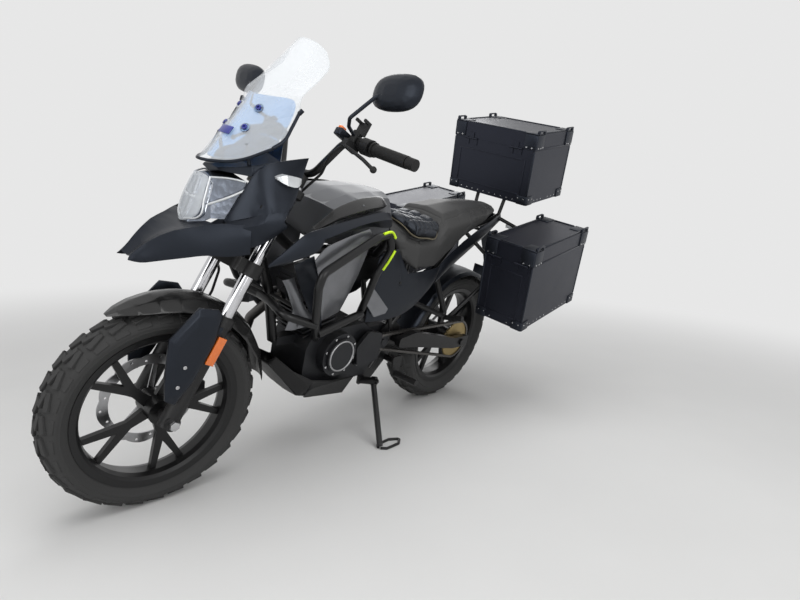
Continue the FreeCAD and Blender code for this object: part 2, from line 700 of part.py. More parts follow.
def main_frame():
    """Head tube, backbone, down tube, pivot plates, seat rails and struts, all welded."""
    head_foot = fork_point(-FORK_OFFSET, 0, HEAD_LOW)
    head = cylinder("head_tube", 28, HEAD_HIGH - HEAD_LOW, head_foot, STEER_AXIS)
    head_bore = cylinder("head_bore", "stem_radius", HEAD_HIGH - HEAD_LOW + 40,
                         head_foot - STEER_AXIS * 20, STEER_AXIS, extra=size("running_gap"))
    middle = [tube("backbone", ((1062, 0, 815), (960, 0, 742), (560, 0, 722)), "frame_radius", 60),
              tube("down_tube", ((1084, 0, 756), (1020, 0, 600), (980, 0, 436)), "frame_radius", 60),
              tube("nose_stay", ((1062, 0, 826), (1150, 0, 862), (1206, 0, 902)), "rail_radius", 60)]
    side = [tube("pivot_tube", ((590, 6, 723), (545, 60, 640), (480, 66, 470), (452, 66, 392), (540, 66, 270)),
                 "rail_radius", 40),
            tube("seat_rail", ((600, 8, 724), (480, 62, 742), (250, 80, 790), (-120, 60, 868)),
                 "rail_radius", 40),
            tube("seat_strut", ((462, 66, 440), (180, 76, 760), (150, 78, 806)), "rail_radius", 40),
            plate_on_side("pivot_plate", ((405, 350, 12), (405, 430, 12), (470, 470, 12), (510, 420, 12),
                                          (530, 320, 12), (592, 246, 8), (590, 208, 8), (530, 214, 10)), 8, 62),
            cylinder("peg_hanger", 12, 62, (452, 62, 300), (0, 1, 0)),
            cylinder("cover_stud", 6, 76, (545, 58, 640), (0, 1, 0)),
            cylinder("panel_stud", 6, 118, (1024, 8, 602), (0, 1, 0)),
            cylinder("nose_cross", 6, 141, (1198, 0, 900), (0, 1, 0))]
    pin_foot = STAND_PIVOT - STAND_AXIS * 6
    lug = cylinder("stand_lug", 14, 46, pin_foot - STAND_AXIS * 46, STAND_AXIS)
    pin = cylinder("stand_pin", 6, 30, pin_foot - STAND_AXIS * 2, STAND_AXIS)
    pin_head = cylinder("stand_pin_head", 10, 5, STAND_PIVOT + STAND_AXIS * 13, STAND_AXIS)
    left = fuse("frame_left", side)
    whole = fuse("frame_whole", [head] + middle + [left, mirrored("frame_right", left), lug, pin, pin_head])
    pivot_bore = cylinder("pivot_bore", PIVOT_TUBE, 300, PIVOT - V(0, 150, 0), (0, 1, 0))
    return cut("frame_bored", cut("frame_cut", whole, head_bore), pivot_bore)


def plate_on_side(name, outline, thickness, y):
    """A flat piece in a plane of constant y, its inner face at y."""
    body = plate(name, outline, thickness, offset=-(y + thickness / 2))
    return body


frame = node("main_frame", main_frame(), PARKED)

# Air box under the backbone, its corner cut off over the engine
node("air_box", cut("air_seated", plate("air_shell", ((600, 636, 8), (600, 714, 8), (770, 714, 8), (770, 668, 8),
                                                      (736, 636, 8)), 116), frame), PARKED)


def engine():
    """Single-cylinder engine: crankcase, finned barrel and head, alternator and clutch covers."""
    case = plate("crankcase", ((560, 300, 20), (590, 262, 20), (860, 262, 30), (905, 330, 30), (905, 420, 30),
                               (880, 470, 20), (640, 480, 20), (560, 420, 20)), 170)
    left_cover = cylinder("alternator_cover", 78, 36, (776, 84, 392), (0, 1, 0))
    left_cap = cylinder("alternator_cap", 62, 10, (776, 119, 392), (0, 1, 0))
    right_cover = cylinder("clutch_cover", 80, 36, (760, -120, 388), (0, 1, 0))
    sprocket_cover = plate_on_side("sprocket_cover", ((560, 330, 20), (560, 440, 20), (640, 452, 20),
                                                      (690, 400, 20), (670, 320, 20)), 14, 102)
    cover_posts = [cylinder("cover_post_%d" % i, 6, 24, (x, 80, z), (0, 1, 0)) for i, (x, z) in
                   enumerate(((592, 440), (668, 330)))]
    lean = FreeCAD.Placement(V(838, 0, 452), FreeCAD.Rotation(V(0, 1, 0), 14))
    barrel = block("barrel", (-56, -56, 0), (56, 56, 214))
    fins = [block("fin_%d" % i, (-72, -70, 22 + 16 * i), (72, 70, 28 + 16 * i)) for i in range(8)]
    head = block("cylinder_head", (-66, -64, 152), (66, 64, 196))
    cover = block("head_cover", (-54, -52, 196), (54, 52, 232))
    inlet = cylinder("inlet_port", 20, 60, (-50, 0, 176), (-1, 0, 0.3))
    outlet = cylinder("outlet_port", 24, 30, (56, -10, 164), (1, 0, -0.35))
    upright = fuse("cylinder_stack", [barrel, head, cover, inlet, outlet] + fins)
    upright.Placement = lean
    boss = block("engine_front_lug", (895, -20, 420), (976, 20, 448))
    shaft = cylinder("output_shaft", 12, 50, (524, 50, 388), (0, 1, 0))
    front_sprocket = cylinder("front_sprocket", 32, 6, (524, SPROCKET_Y - 3, 388), (0, 1, 0))
    rear = block("gearbox_rear", (480, -54, 300), (580, 54, 440))
    return fuse("engine_whole", [case, left_cover, left_cap, right_cover, sprocket_cover, upright, boss, rear,
                                 shaft, front_sprocket] + cover_posts)


motor = node("engine", cut("engine_seated", engine(), frame), PARKED)


def exhaust():
    """Header from the front of the head, under the engine's right side, to the silencer."""
    pipe = tube("header", ((957, -10, 581), (984, -34, 560), (1004, -96, 480), (985, -154, 340),
                           (880, -160, 258), (640, -160, 250), (470, -180, 296), (412, -190, 315)),
                "frame_radius", 36)
    silencer = cylinder("silencer", 50, 420, (380, -190, 322), (-1, 0, 0.2))
    nose = doc.addObject("Part::Cone", "silencer_nose")
    nose.Radius1, nose.Radius2, nose.Height = 20, 50, 50
    nose.Placement = FreeCAD.Placement(V(424, -190, 313), FreeCAD.Rotation(V(0, 0, 1), V(-1, 0, 0.2)))
    tip = cylinder("silencer_tip", 22, 30, (-30, -190, 404), (-1, 0, 0.2))
    hole = cylinder("silencer_hole", 17, 60, (-20, -190, 402), (-1, 0, 0.2))
    hanger = cylinder("silencer_hanger", 6, 84, (186, -156, 372), (0, 26, 84))
    return cut("exhaust_cut", fuse("exhaust_whole", [pipe, nose, silencer, tip, hanger]), hole)


pipes = exhaust()


def swingarm():
    """Two box arms on a pivot tube, with the rear axle through their ends."""
    arms = []
    for i, side in enumerate((1, -1)):
        arm = plate("arm_%d" % i, ((462, 404, 14), (462, 366, 14), (360, 352, 20), (60, 292, 10), (-52, 290, 10),
                                   (-52, 338, 10), (60, 342, 10), (360, 416, 30)), 24,
                    offset=-side * 118)
        arms.append(arm)
    bridge = block("arm_bridge", (350, -110, 358), (384, 110, 396))
    sleeve = cylinder("pivot_sleeve", PIVOT_TUBE, 244, PIVOT - V(0, 122, 0), (0, 1, 0))
    axle = cylinder("rear_axle", "axle_radius", 268, (0, -134, REAR_AXLE.z), (0, 1, 0))
    nuts = [cylinder("axle_nut_%d" % i, 15, 8, (0, y, REAR_AXLE.z), (0, 1, 0)) for i, y in enumerate((130, -138))]
    spacers = [cylinder("rear_spacer_left", 14, 106 - SPROCKET_Y + 24, (0, SPROCKET_Y - 24, REAR_AXLE.z), (0, 1, 0)),
               cylinder("rear_spacer_right", 14, 106 - REAR_HUB / 2 - 1, (0, -106, REAR_AXLE.z), (0, 1, 0))]
    caliper = block("rear_caliper", (70, -106, 300), (110, -56, 350))
    slot = cylinder("rear_caliper_swept", 113, 10, (0, REAR_DISC_Y - 5, REAR_AXLE.z), (0, 1, 0))
    return fuse("swingarm_whole", arms + [bridge, sleeve, axle] + nuts + spacers
                + [cut("rear_caliper_cut", caliper, slot)])


swing = node("swingarm", swingarm(), PARKED)


def rear_shock():
    """Single damper with its spring, between the frame and the swingarm bridge."""
    foot, top = V(367, 0, 410), V(430, 0, 690)
    heading = (top - foot).normalize()
    rod = cylinder("damper_rod", 9, 280, foot, heading)
    tube_part = cylinder("damper_body", 20, 110, foot + heading * 150, heading)
    coil, pitch, count = 36, 22, 8
    wave = [(26, -8)]
    for i in range(count):
        wave += [(30, pitch * i - 5), (coil, pitch * i), (30, pitch * i + 5)]
    spring = turned("spring", wave + [(26, pitch * (count - 1) + 8)])
    spring.Placement = FreeCAD.Placement(foot + heading * 46, FreeCAD.Rotation(V(0, 1, 0), heading))
    seats = [cylinder("spring_seat_%d" % i, 36, 8, foot + heading * d, heading) for i, d in enumerate((30, 212))]
    sleeve = cylinder("spring_sleeve", 28, 186, foot + heading * 32, heading)
    eyes = [cylinder("shock_eye_%d" % i, 14, 30, p + V(0, -15, 0), (0, 1, 0)) for i, p in enumerate((foot, top))]
    return fuse("shock_whole", [rod, tube_part, sleeve, spring] + seats + eyes)


node("rear_shock", cut("shock_seated", rear_shock(), swing), PARKED)

# Bodywork that closes round the machine's middle: x, then (y, z) from the crest down one side


def fuel_tank():
    shell = hull_loft("tank_shell", (
        (596, ((0, 886), (40, 882), (56, 874), (72, 850), (72, 790), (0, 760))),
        (650, ((0, 954), (60, 950), (92, 932), (112, 892), (108, 800), (0, 746))),
        (745, ((0, 956), (80, 951), (116, 941), (136, 902), (122, 800), (0, 748))),
        (850, ((0, 944), (84, 940), (136, 931), (150, 890), (132, 806), (0, 758))),
        (936, ((0, 908), (80, 904), (148, 896), (158, 874), (112, 816), (0, 790)))))
    # Stubs that carry the side skins: x, reach to the side, height
    bosses = [cylinder("tank_boss_%d" % i, 6, 2 * reach, (x, -reach, z), (0, 1, 0))
              for i, (x, reach, z) in enumerate(((780, 175, 876), (900, 196, 868), (850, 167, 918), (800, 160, 915)))]
    return cut("tank_tunnel", fuse("tank_whole", [shell] + bosses), frame)


def seat():
    shell = hull_loft("seat_shell", (
        (592, ((0, 872), (48, 866), (70, 836), (72, 800), (60, 796), (56, 808), (0, 808))),
        (540, ((0, 850), (70, 842), (100, 806), (106, 720), (94, 716), (86, 780), (0, 786))),
        (470, ((0, 822), (90, 814), (128, 780), (130, 680), (118, 676), (110, 748), (0, 752))),
        (370, ((0, 826), (100, 820), (140, 786), (138, 690), (126, 686), (118, 762), (0, 766))),
        (318, ((0, 894), (92, 882), (134, 836), (134, 716), (122, 712), (114, 776), (0, 780))),
        (180, ((0, 916), (88, 906), (126, 872), (128, 800), (116, 796), (104, 812), (0, 816))),
        (0, ((0, 926), (76, 918), (108, 896), (106, 866), (96, 862), (90, 850), (0, 852))),
        (-128, ((0, 926), (44, 920), (60, 908), (60, 896), (52, 894), (48, 878), (0, 880)))))
    return cut("seat_base", shell, frame)


tank = fuel_tank()
seat_solid = node("seat", seat(), PARKED)


def seat_pad():
    """The quilted cushion strapped over the rider's seat, a plain dome here."""
    pad = hull_loft("pad_shell", (
        (560, ((0, 884), (50, 876), (62, 868), (52, 856), (0, 862))),
        (500, ((0, 872), (100, 858), (128, 836), (118, 806), (0, 834))),
        (400, ((0, 860), (112, 850), (146, 826), (138, 800), (0, 830))),
        (352, ((0, 874), (84, 866), (112, 852), (100, 836), (0, 852)))))
    return cut("pad_cut", pad, seat_solid)


node("seat_pad", seat_pad(), PARKED)


def tail_fairing():
    """Side panels under the pillion seat, running back to the lamp, and the plate holder."""
    left = panel("tail_side", (
        ((330, 140, 700), (330, 144, 650), (330, 132, 620)),
        ((200, 134, 790), (200, 140, 740), (200, 126, 706)),
        ((0, 112, 860), (0, 120, 820), (0, 104, 790)),
        ((-160, 70, 894), (-160, 80, 870), (-160, 66, 850))), (0, -size("panel"), 0))
    lamp = hull_loft("lamp_block", (
        (-140, ((0, 892), (44, 890), (66, 872), (66, 856), (0, 852))),
        (-196, ((0, 884), (34, 882), (42, 872), (34, 862), (0, 860)))))
    holder = hull_loft("plate_arm", (
        (-150, ((0, 850), (30, 850), (30, 842), (0, 842))),
        (-300, ((0, 640), (26, 640), (26, 632), (0, 632))),
        (-330, ((0, 560), (24, 560), (24, 552), (0, 552)))))
    blank = block("plate_blank", (-336, -95, 470), (-333, 95, 600))
    stay = block("plate_stay", (-334, -30, 552), (-322, 30, 580))
    return fuse("tail_whole", [left, mirrored("tail_side_right", left), lamp, holder, blank, stay])


tail = tail_fairing()

# Panels on the left, with their twins on the right: rows of points run from top to bottom

T = size("panel")

# Band along the tank from its rear hook, then the wing that points forward
SHROUD_ROWS = (
    ((692, 150, 888), (686, 154, 870), (684, 152, 852)), ((706, 154, 901), (702, 166, 880), (704, 158, 850)),
    ((745, 160, 905), (740, 174, 882), (748, 166, 852)), ((790, 167, 900), (786, 182, 880), (796, 172, 862)),
    ((880, 184, 890), (877, 200, 874), (884, 192, 857)), ((1057, 203, 857), (1046, 221, 847), (1037, 223, 837)),
    ((1097, 209, 850), (1070, 227, 820), (1051, 225, 809)), ((1122, 211, 832), (1092, 226, 803), (1072, 223, 789)),
    ((1212, 214, 768), (1213, 216, 766), (1210, 214, 762)))

shrouds = node("tank_shrouds", both_sides("shrouds_pair", fuse("shroud_left", [
    panel("shroud_wing", SHROUD_ROWS, (0, -T, 0)),
    panel("shroud_web", (((1122, 209, 762), (1064, 218, 788)), ((1050, 150, 698), (1026, 200, 734)),
                         ((980, 142, 592), (985, 182, 664)), ((945, 142, 552), (935, 156, 575)),
                         ((930, 140, 520), (908, 146, 500))), (0, -T, 0))])), PARKED)

knees = node("knee_panels", both_sides("knees_pair", panel("knee_left", (
    ((1052, 178, 857), (1050, 188, 853), (1048, 184, 849)),
    ((992, 166, 887), (990, 184, 874), (988, 178, 864)),
    ((950, 158, 910), (944, 182, 892), (946, 176, 880)),
    ((850, 144, 937), (846, 176, 912), (846, 162, 892)),
    ((740, 122, 944), (742, 152, 920), (744, 138, 903)),
    ((700, 112, 934), (704, 132, 918), (712, 126, 908))), (0, -T, 0), 3, 2)), PARKED)
node("fuel_tank", cut("tank_seated", tank, fuse("tank_seats", [knees, shrouds])), PARKED)

# Columns: top edge, both lips of the groove, crease, bottom edge
node("silver_panels", cut("silvers_seated", both_sides("silvers_pair", panel("silver_left", (
    ((1061, 221, 775), (1026, 211, 721), (1020, 203, 712), (1000, 196, 690), (925, 150, 552)),
    ((1037, 222, 808), (986, 211, 762), (981, 203, 752), (965, 196, 720), (905, 149, 556)),
    ((1004, 216, 820), (942, 206, 800), (938, 199, 789), (930, 188, 705), (885, 146, 560)),
    ((905, 196, 840), (862, 190, 814), (860, 183, 803), (866, 172, 700), (862, 142, 564)),
    ((812, 174, 852), (788, 174, 830), (784, 167, 818), (794, 154, 700), (838, 137, 568))),
    (0, -T, 0))), shrouds), PARKED)

covers = node("side_covers", cut("covers_seated", both_sides("covers_pair", panel("cover_left", (
    ((680, 128, 742), (690, 124, 650), (680, 120, 500)),
    ((600, 136, 770), (600, 130, 640), (600, 124, 496)),
    ((520, 140, 676), (500, 134, 600), (520, 128, 500)),
    ((380, 144, 684), (400, 138, 620), (440, 130, 520)),
    ((334, 146, 696), (336, 142, 650), (350, 138, 610))), (0, -T, 0))), frame), PARKED)

node("grey_panels", cut("greys_seated", both_sides("greys_pair", fuse("greys_left", [
    panel("z_panel", (((1094, 139, 693), (1071, 139, 694), (1047, 134, 696)),
                      ((1075, 136, 672), (1054, 137, 670), (1034, 133, 668)),
                      ((1025, 128, 590), (1000, 131, 589), (974, 127, 588)),
                      ((1042, 124, 526), (1020, 127, 524), (998, 123, 521))), (0, -T, 0)),
    panel("z_tail", (((976, 127, 588), (942, 125, 565)), ((1000, 123, 523), (934, 125, 528))), (0, -T, 0)),
    plate_on_side("side_flash", ((690, 634, 6), (588, 546, 6), (598, 530, 6), (657, 523, 8), (706, 572, 6)),
                  6, 130)])), fuse("grey_seats", [covers, frame])), PARKED)

# Upper panel from the lamp to the indicator, and the darker cheek below it
nose = node("nose_fairing", cut("noses_seated", both_sides("noses_pair", fuse("nose_left", [
    panel("nose_upper", (
        ((1256, 74, 850), (1258, 78, 847), (1262, 80, 843)), ((1227, 90, 922), (1231, 102, 900), (1236, 114, 862)),
        ((1204, 104, 983), (1195, 130, 955), (1188, 158, 888)), ((1170, 118, 1010), (1150, 138, 954), (1160, 165, 893)),
        ((1110, 120, 1024), (1116, 143, 954), (1130, 168, 900)), ((1052, 120, 1035), (1082, 138, 975), (1098, 150, 938))),
          (0, -T, 0), 2),
    panel("nose_cheek", (
        ((1262, 84, 844), (1272, 108, 828), (1262, 108, 780)), ((1225, 126, 867), (1235, 142, 848), (1225, 132, 788)),
        ((1186, 157, 890), (1206, 162, 860), (1189, 160, 809)), ((1132, 167, 901), (1150, 176, 872), (1136, 176, 857))),
          (0, -T, 0), 2)])), frame), PARKED)


def crosswise(rows):
    """Rows that run from the middle of the machine to its left, carried over to the right."""
    return [[(x, -y, z) for x, y, z in reversed(row) if y > 0] + list(row) for row in rows]


lamp = node("headlight", cut("lamp_seated", hull_loft("lamp_shell", (
    (1330, ((0, 838), (18, 836), (20, 828), (0, 826))),
    (1300, ((0, 930), (36, 918), (52, 840), (0, 836))),
    (1286, ((0, 958), (34, 948), (52, 846), (0, 838))),
    (1210, ((0, 962), (82, 950), (88, 852), (0, 842))))), frame), PARKED)

# The top rises from its valley to a ridge on each side; the cheeks go down from the ridges
node("beak", cut("beak_seated", fuse("beak_whole", [
    panel("beak_top", crosswise((
        ((1466, 0, 741), (1471, 22, 747)), ((1420, 0, 778), (1428, 38, 789)), ((1372, 0, 808), (1386, 58, 816)),
        ((1334, 0, 824), (1340, 78, 831)), ((1296, 0, 834), (1302, 90, 844)))), (0, 0, -T), 2),
    both_sides("beak_sides", panel("beak_cheek", (
        ((1471, 22, 747), (1478, 30, 736), (1452, 37, 729)), ((1428, 38, 789), (1416, 53, 766), (1404, 58, 741)),
        ((1386, 58, 816), (1369, 78, 788), (1360, 82, 753)), ((1340, 78, 831), (1328, 101, 802), (1318, 106, 765)),
        ((1290, 104, 846), (1281, 125, 812), (1274, 126, 765)),
        ((1224, 138, 852), (1229, 151, 828), (1222, 148, 777))), (0, -T, 0), 2))]),
    fuse("beak_seats", [lamp, frame, nose])), PARKED)

screen_sheet = node("windshield", panel("screen_sheet", crosswise((
    ((1304, 0, 990), (1242, 66, 1002), (1176, 122, 1050)), ((1272, 0, 1030), (1214, 70, 1044), (1150, 128, 1072)),
    ((1226, 0, 1092), (1176, 68, 1106), (1116, 125, 1140)), ((1164, 0, 1176), (1132, 66, 1180), (1106, 119, 1187)),
    ((1106, 0, 1250), (1086, 62, 1246), (1052, 109, 1234)), ((1058, 0, 1310), (1040, 56, 1298), (1012, 97, 1276)),
    ((1035, 0, 1338), (1022, 44, 1331), (1010, 74, 1314)))), (-2.6, 0, -2.2), 3, 3), PARKED)


def dashboard():
    """The hood round the instruments, down to the lamp, with the stalks that carry the windscreen."""
    hood = hull_loft("dash_shell", (
        (1270, ((0, 976), (30, 974), (36, 968), (0, 958))),
        (1200, ((0, 1000), (82, 990), (90, 966), (0, 958))),
        (1140, ((0, 1040), (112, 1016), (120, 976), (0, 966))),
        (1112, ((0, 1070), (80, 1060), (80, 1000), (0, 990)))))
    stalks = [cylinder("screen_stalk_%d" % i, 5, 74, (1192, side * 62, 975), (22, 0, 70))
              for i, side in enumerate((1, -1))]
    seats = fuse("dash_seats", [screen_sheet, lamp])
    return cut("dash_seated", fuse("dash_whole", [hood] + stalks), seats)


node("dashboard", dashboard(), PARKED)

node("indicators", cut("indicators_seated", fuse("indicators_four", [
    both_sides("indicators_front", panel("indicator_front", (
        ((1164, 139, 979), (1162, 141, 973)), ((1142, 150, 988), (1138, 156, 962)),
        ((1112, 152, 986), (1110, 160, 960)), ((1090, 147, 982), (1092, 151, 968))), (0, -20, 0), 2)),
    both_sides("indicators_rear", panel("indicator_rear", (
        ((-196, 90, 850), (-196, 92, 836)), ((-204, 120, 856), (-204, 120, 832)),
        ((-212, 150, 846), (-212, 150, 838))), (-10, 0, 0)))]), nose), PARKED)


def crash_bars():
    """Bars on each side: an upper hoop round the shroud, a brace, and a loop round the engine's front."""
    upper = tube("bar_upper", ((640, 14, 728), (668, 96, 742), (704, 156, 796), (740, 192, 838), (812, 214, 836),
                               (1040, 240, 744), (1046, 236, 700), (1000, 200, 590), (930, 140, 500),
                               (880, 92, 462)), "crash_bar_radius", 26)
    brace = tube("bar_brace", ((728, 78, 500), (742, 150, 552), (800, 170, 556), (940, 160, 512)),
                 "crash_bar_radius", 26)
    loop = tube("bar_loop", ((984, 190, 560), (1080, 150, 590), (1064, 60, 600), (1056, 0, 600)),
                "crash_bar_radius", 34)
    rear = tube("bar_rear", ((728, 188, 842), (706, 190, 786), (740, 176, 700), (738, 156, 620), (736, 132, 536)),
                "crash_bar_radius", 40)
    left = fuse("bars_left", [upper, brace, loop, rear])
    return cut("bars_seated", fuse("bars_whole", [left, mirrored("bars_right", left)]), frame)


node("crash_bars", crash_bars(), PARKED)

skid_posts = [cylinder("skid_post_%d" % i, 8, 262 - z, (x, y, z), (0, 0, 1)) for i, (x, y, z) in
              enumerate(((710, 60, 216), (710, -60, 216), (850, 56, 236), (850, -56, 236)))]
node("skid_plate", fuse("skid_whole", skid_posts + [hull_loft("skid_shell", (
    (1034, ((0, 386), (60, 390), (90, 424), (94, 420), (64, 384), (0, 380))),
    (898, ((0, 240), (84, 244), (124, 300), (130, 298), (88, 238), (0, 234))),
    (690, ((0, 212), (84, 216), (120, 294), (126, 292), (88, 210), (0, 206)))))]), PARKED)


# How far the lids' hinge axis stands ahead of the case's front face
HINGE_GAP = 4


def case_shell(name, length, width, height):
    """A closed sheet-metal case on its front lower inner corner, upright corners bevelled."""
    outer = doc.addObject("Part::Box", name + "_outer")
    bind(outer, Length="sizes." + length, Width="sizes." + width, Height="sizes." + height)
    inner = doc.addObject("Part::Box", name + "_inner")
    wall = "sizes.sheet_metal"
    bind(inner, Length="sizes.%s - 2 * %s" % (length, wall), Width="sizes.%s - 2 * %s" % (width, wall),
         Height="sizes.%s - 2 * %s" % (height, wall))
    inner.Placement.Base = V(*[size("sheet_metal")] * 3)
    return cut(name + "_shell", outer, inner)


def case_parts(name, length, width, height):
    """The case cut at its seam: the tub below and the lid above, half a millimetre apart.

    Two hinges stand ahead of the front face: the tub's barrels carry a pin through the lid's.
    """
    shell = case_shell(name, length, width, height)
    seam = size(height) - size("lid_height")
    front = size(length) + HINGE_GAP
    tub = cut(name + "_tub_sheet", shell, block(name + "_above", (-9, -9, seam - 0.5), (999, 999, 999)))
    lid = cut(name + "_lid_sheet", shell, block(name + "_below", (-9, -9, -9), (999, 999, seam)))
    tub_pieces, lid_pieces, bores = [tub], [lid], []
    for i, share in enumerate((0.22, 0.78)):
        middle = size(width) * share
        mark = "%s_hinge_%d" % (name, i)
        for k, start in enumerate((middle - 30, middle + 12)):
            tub_pieces.append(cylinder("%s_outer_%d" % (mark, k), "hinge_barrel", 18, (front, start, seam), (0, 1, 0)))
            tub_pieces.append(block("%s_leaf_%d" % (mark, k), (front - HINGE_GAP, start, seam - 26),
                                    (front - 1, start + 18, seam - 2)))
        tub_pieces.append(cylinder(mark + "_pin", "hinge_pin", 60, (front, middle - 30, seam), (0, 1, 0)))
        lid_pieces.append(cylinder(mark + "_inner", "hinge_barrel", 22, (front, middle - 11, seam), (0, 1, 0)))
        lid_pieces.append(block(mark + "_lid_leaf", (front - HINGE_GAP, middle - 11, seam + 2),
                                (front - 1, middle + 11, seam + 26)))
        bores.append(cylinder(mark + "_bore", "hinge_pin", 30, (front, middle - 15, seam), (0, 1, 0),
                              extra=size("running_gap")))
    return (fuse(name + "_tub", tub_pieces),
            cut(name + "_lid", fuse(name + "_lid_whole", lid_pieces), fuse(name + "_bores", bores)))


# Where each case sits: its rear lower corner and whether it is on the other side
PITCH = FreeCAD.Rotation(V(0, 1, 0), size("case_pitch"))


def case_seat(length, front, inner_y, bottom):
    """Placement of a case whose front lower edge is at (front, bottom)."""
    reach = PITCH.multVec(V(size(length), 0, 0))
    return FreeCAD.Placement(V(front - reach.x, inner_y, bottom - reach.z), PITCH)


top_tub, top_lid_shell = case_parts("top_box", "top_case_length", "top_case_width", "top_case_height")
SIDE_INNER = 216.9
TOP_SEAT = case_seat("top_case_length", -108.4, -size("top_case_width") / 2, 962.2)
node("top_case", top_tub, PARKED * TOP_SEAT)
node("top_lid", top_lid_shell, PARKED * TOP_SEAT)
left_tub, left_lid_shell = case_parts("side_box", "side_case_length", "side_case_width", "side_case_height")
SIDE_SEAT = case_seat("side_case_length", 99.5, SIDE_INNER, 504.7)
RIGHT_SEAT = case_seat("side_case_length", 99.5, -SIDE_INNER - size("side_case_width"), 504.7)
node("left_case", left_tub, PARKED * SIDE_SEAT)
node("left_lid", left_lid_shell, PARKED * SIDE_SEAT)
right_tub, right_lid_shell = case_parts("far_box", "side_case_length", "side_case_width", "side_case_height")
node("right_case", right_tub, PARKED * RIGHT_SEAT)
node("right_lid", right_lid_shell, PARKED * RIGHT_SEAT)


def luggage_rack():
    """Top rack behind the seat and a hoop for each side case."""
    def seat_point(x, y, z):
        """A point in the top case's own axes, given in the machine's."""
        return tuple(TOP_SEAT.multVec(V(x, y, z)))
    mid = size("top_case_width") / 2
    length = size("top_case_length")
    rail = tube("rack_rail", ((-112, 60, 868), (-150, 66, 890), seat_point(length - 50, mid + 70, -8.2),
                              seat_point(20, mid + 70, -8.2)), "rack_radius", 14)
    bars = [tube("rack_cross_%d" % i, (seat_point(x, mid - 72, -7), seat_point(x, mid + 72, -7)), "rack_bar_radius")
            for i, x in enumerate((44, 150, 250))]
    hoop_y = SIDE_INNER - size("rack_radius") - 0.2
    hoop = tube("side_hoop", ((60, hoop_y, 790), (50, hoop_y, 570), (-250, hoop_y, 640), (-282, hoop_y, 850),
                              (40, hoop_y, 800)), "rack_radius", 24)
    struts = [tube("hoop_strut_%d" % i, ends, "rack_radius") for i, ends in enumerate((
        ((-200, hoop_y, 836), (-134, 62, 880)), ((54, hoop_y, 720), (110, 80, 812)),
        ((52, hoop_y, 640), (176, 136, 458))))]
    bridge = tube("hoop_bridge", ((-270, hoop_y, 780), (-270, -hoop_y, 780)), "rack_radius")
    left = fuse("rack_left", [rail, hoop] + struts)
    whole = fuse("rack_whole", [left, mirrored("rack_right", left), bridge] + bars)
    return cut("rack_seated", whole, frame)


rack = node("luggage_rack", luggage_rack(), PARKED)
node("tail_fairing", cut("tail_seated", cut("tail_cleared", tail, rack), frame), PARKED)


def rear_hugger():
    """Mudguard close over the rear tyre, carried by the swingarm, with the chain guard."""
    sections = []
    for degrees in (12, 45, 80, 110, 140):
        a = math.radians(degrees)
        out = V(math.cos(a), 0, math.sin(a))
        spots = ((79, 316), (66, 330), (0, 334), (-66, 330), (-79, 316))
        outer = [out * r + V(0, y, 0) for y, r in spots]
        inner = [out * (r - T) + V(0, y * 0.965, 0) for y, r in reversed(spots)]
        sections.append([tuple(p + REAR_AXLE) for p in outer + inner])
    strip = loft("hugger_strip", sections)
    tab = block("hugger_tab", (322, -40, 380), (360, 40, 388))
    return cut("hugger_seated", fuse("hugger_whole", [strip, tab]), swing)


node("rear_hugger", rear_hugger(), PARKED)


def chain():
    """The chain's loop over both sprockets, a band whose edges swell at every link's pin."""
    rear, front = size("sprocket_radius"), size("front_sprocket_radius")
    start, finish = REAR_AXLE, V(524, 0, 388)
    run = finish - start
    base = math.atan2(run.z, run.x)
    swing_angle = math.asin((rear - front) / run.Length)
    half = size("chain_height") / 2
    up, down = base + math.pi / 2 + swing_angle, base - math.pi / 2 - swing_angle
    lean = up - down

    def round_sprocket(centre, radius, first, turn, count):
        """Places of the pins round a sprocket: centre, outward direction and distance out."""
        return [(centre, first + turn * i / count, radius) for i in range(count)]

    # Pins round the engine sprocket and the rear one, then the straight runs between
    straight = math.sqrt(run.Length ** 2 - (rear - front) ** 2)
    on_front = round(lean * front / size("chain_pitch"))
    on_rear = round((2 * math.pi - lean) * rear / size("chain_pitch"))
    on_run = round(straight / size("chain_pitch"))
    pins = []
    for centre, radius, other, first, turn, count in ((finish, front, start, up, -lean, on_front),
                                                      (start, rear, finish, down, lean - 2 * math.pi, on_rear)):
        pins += round_sprocket(centre, radius, first, turn, count)
        far = rear if radius == front else front
        last = first + turn
        for i in range(on_run):
            share = i / on_run
            pins.append((centre + (other - centre) * share, last, radius + (far - radius) * share))

    def outline(crest, waist):
        """The band's edge: out at every pin and in between them."""
        spots = []
        for i, (centre, angle, radius) in enumerate(pins):
            after = pins[(i + 1) % len(pins)]
            here = centre + V(math.cos(angle), 0, math.sin(angle)) * (radius + crest)
            there = after[0] + V(math.cos(after[1]), 0, math.sin(after[1])) * (after[2] + crest)
            out = V(math.cos(angle), 0, math.sin(angle)) + V(math.cos(after[1]), 0, math.sin(after[1]))
            spots += [here, (here + there) / 2 + out.normalize() * (waist - crest)]
        flat = [V(p.x, p.z, 0) for p in spots]
        return [Part.LineSegment(a, b) for a, b in zip(flat, flat[1:] + flat[:1])]
    body, drawing = body_sketch("chain_band", "XZ_Plane", outline(half, half - 2.4) + outline(-half, 2.4 - half), -SPROCKET_Y)
    pad = body.newObject("PartDesign::Pad", "chain_pad")
    pad.Profile = drawing
    pad.SideType = "Symmetric"
    bind(pad, Length="sizes.chain_width")
    grooves = [cylinder("chain_groove_%d" % i, reach, 8, centre + V(0, SPROCKET_Y - 4, 0), (0, 1, 0))
               for i, (centre, reach) in enumerate(((start, rear + 8), (finish, front + 8)))]
    return cut("chain_grooved", body, fuse("chain_grooves", grooves))


node("chain", chain(), PARKED)


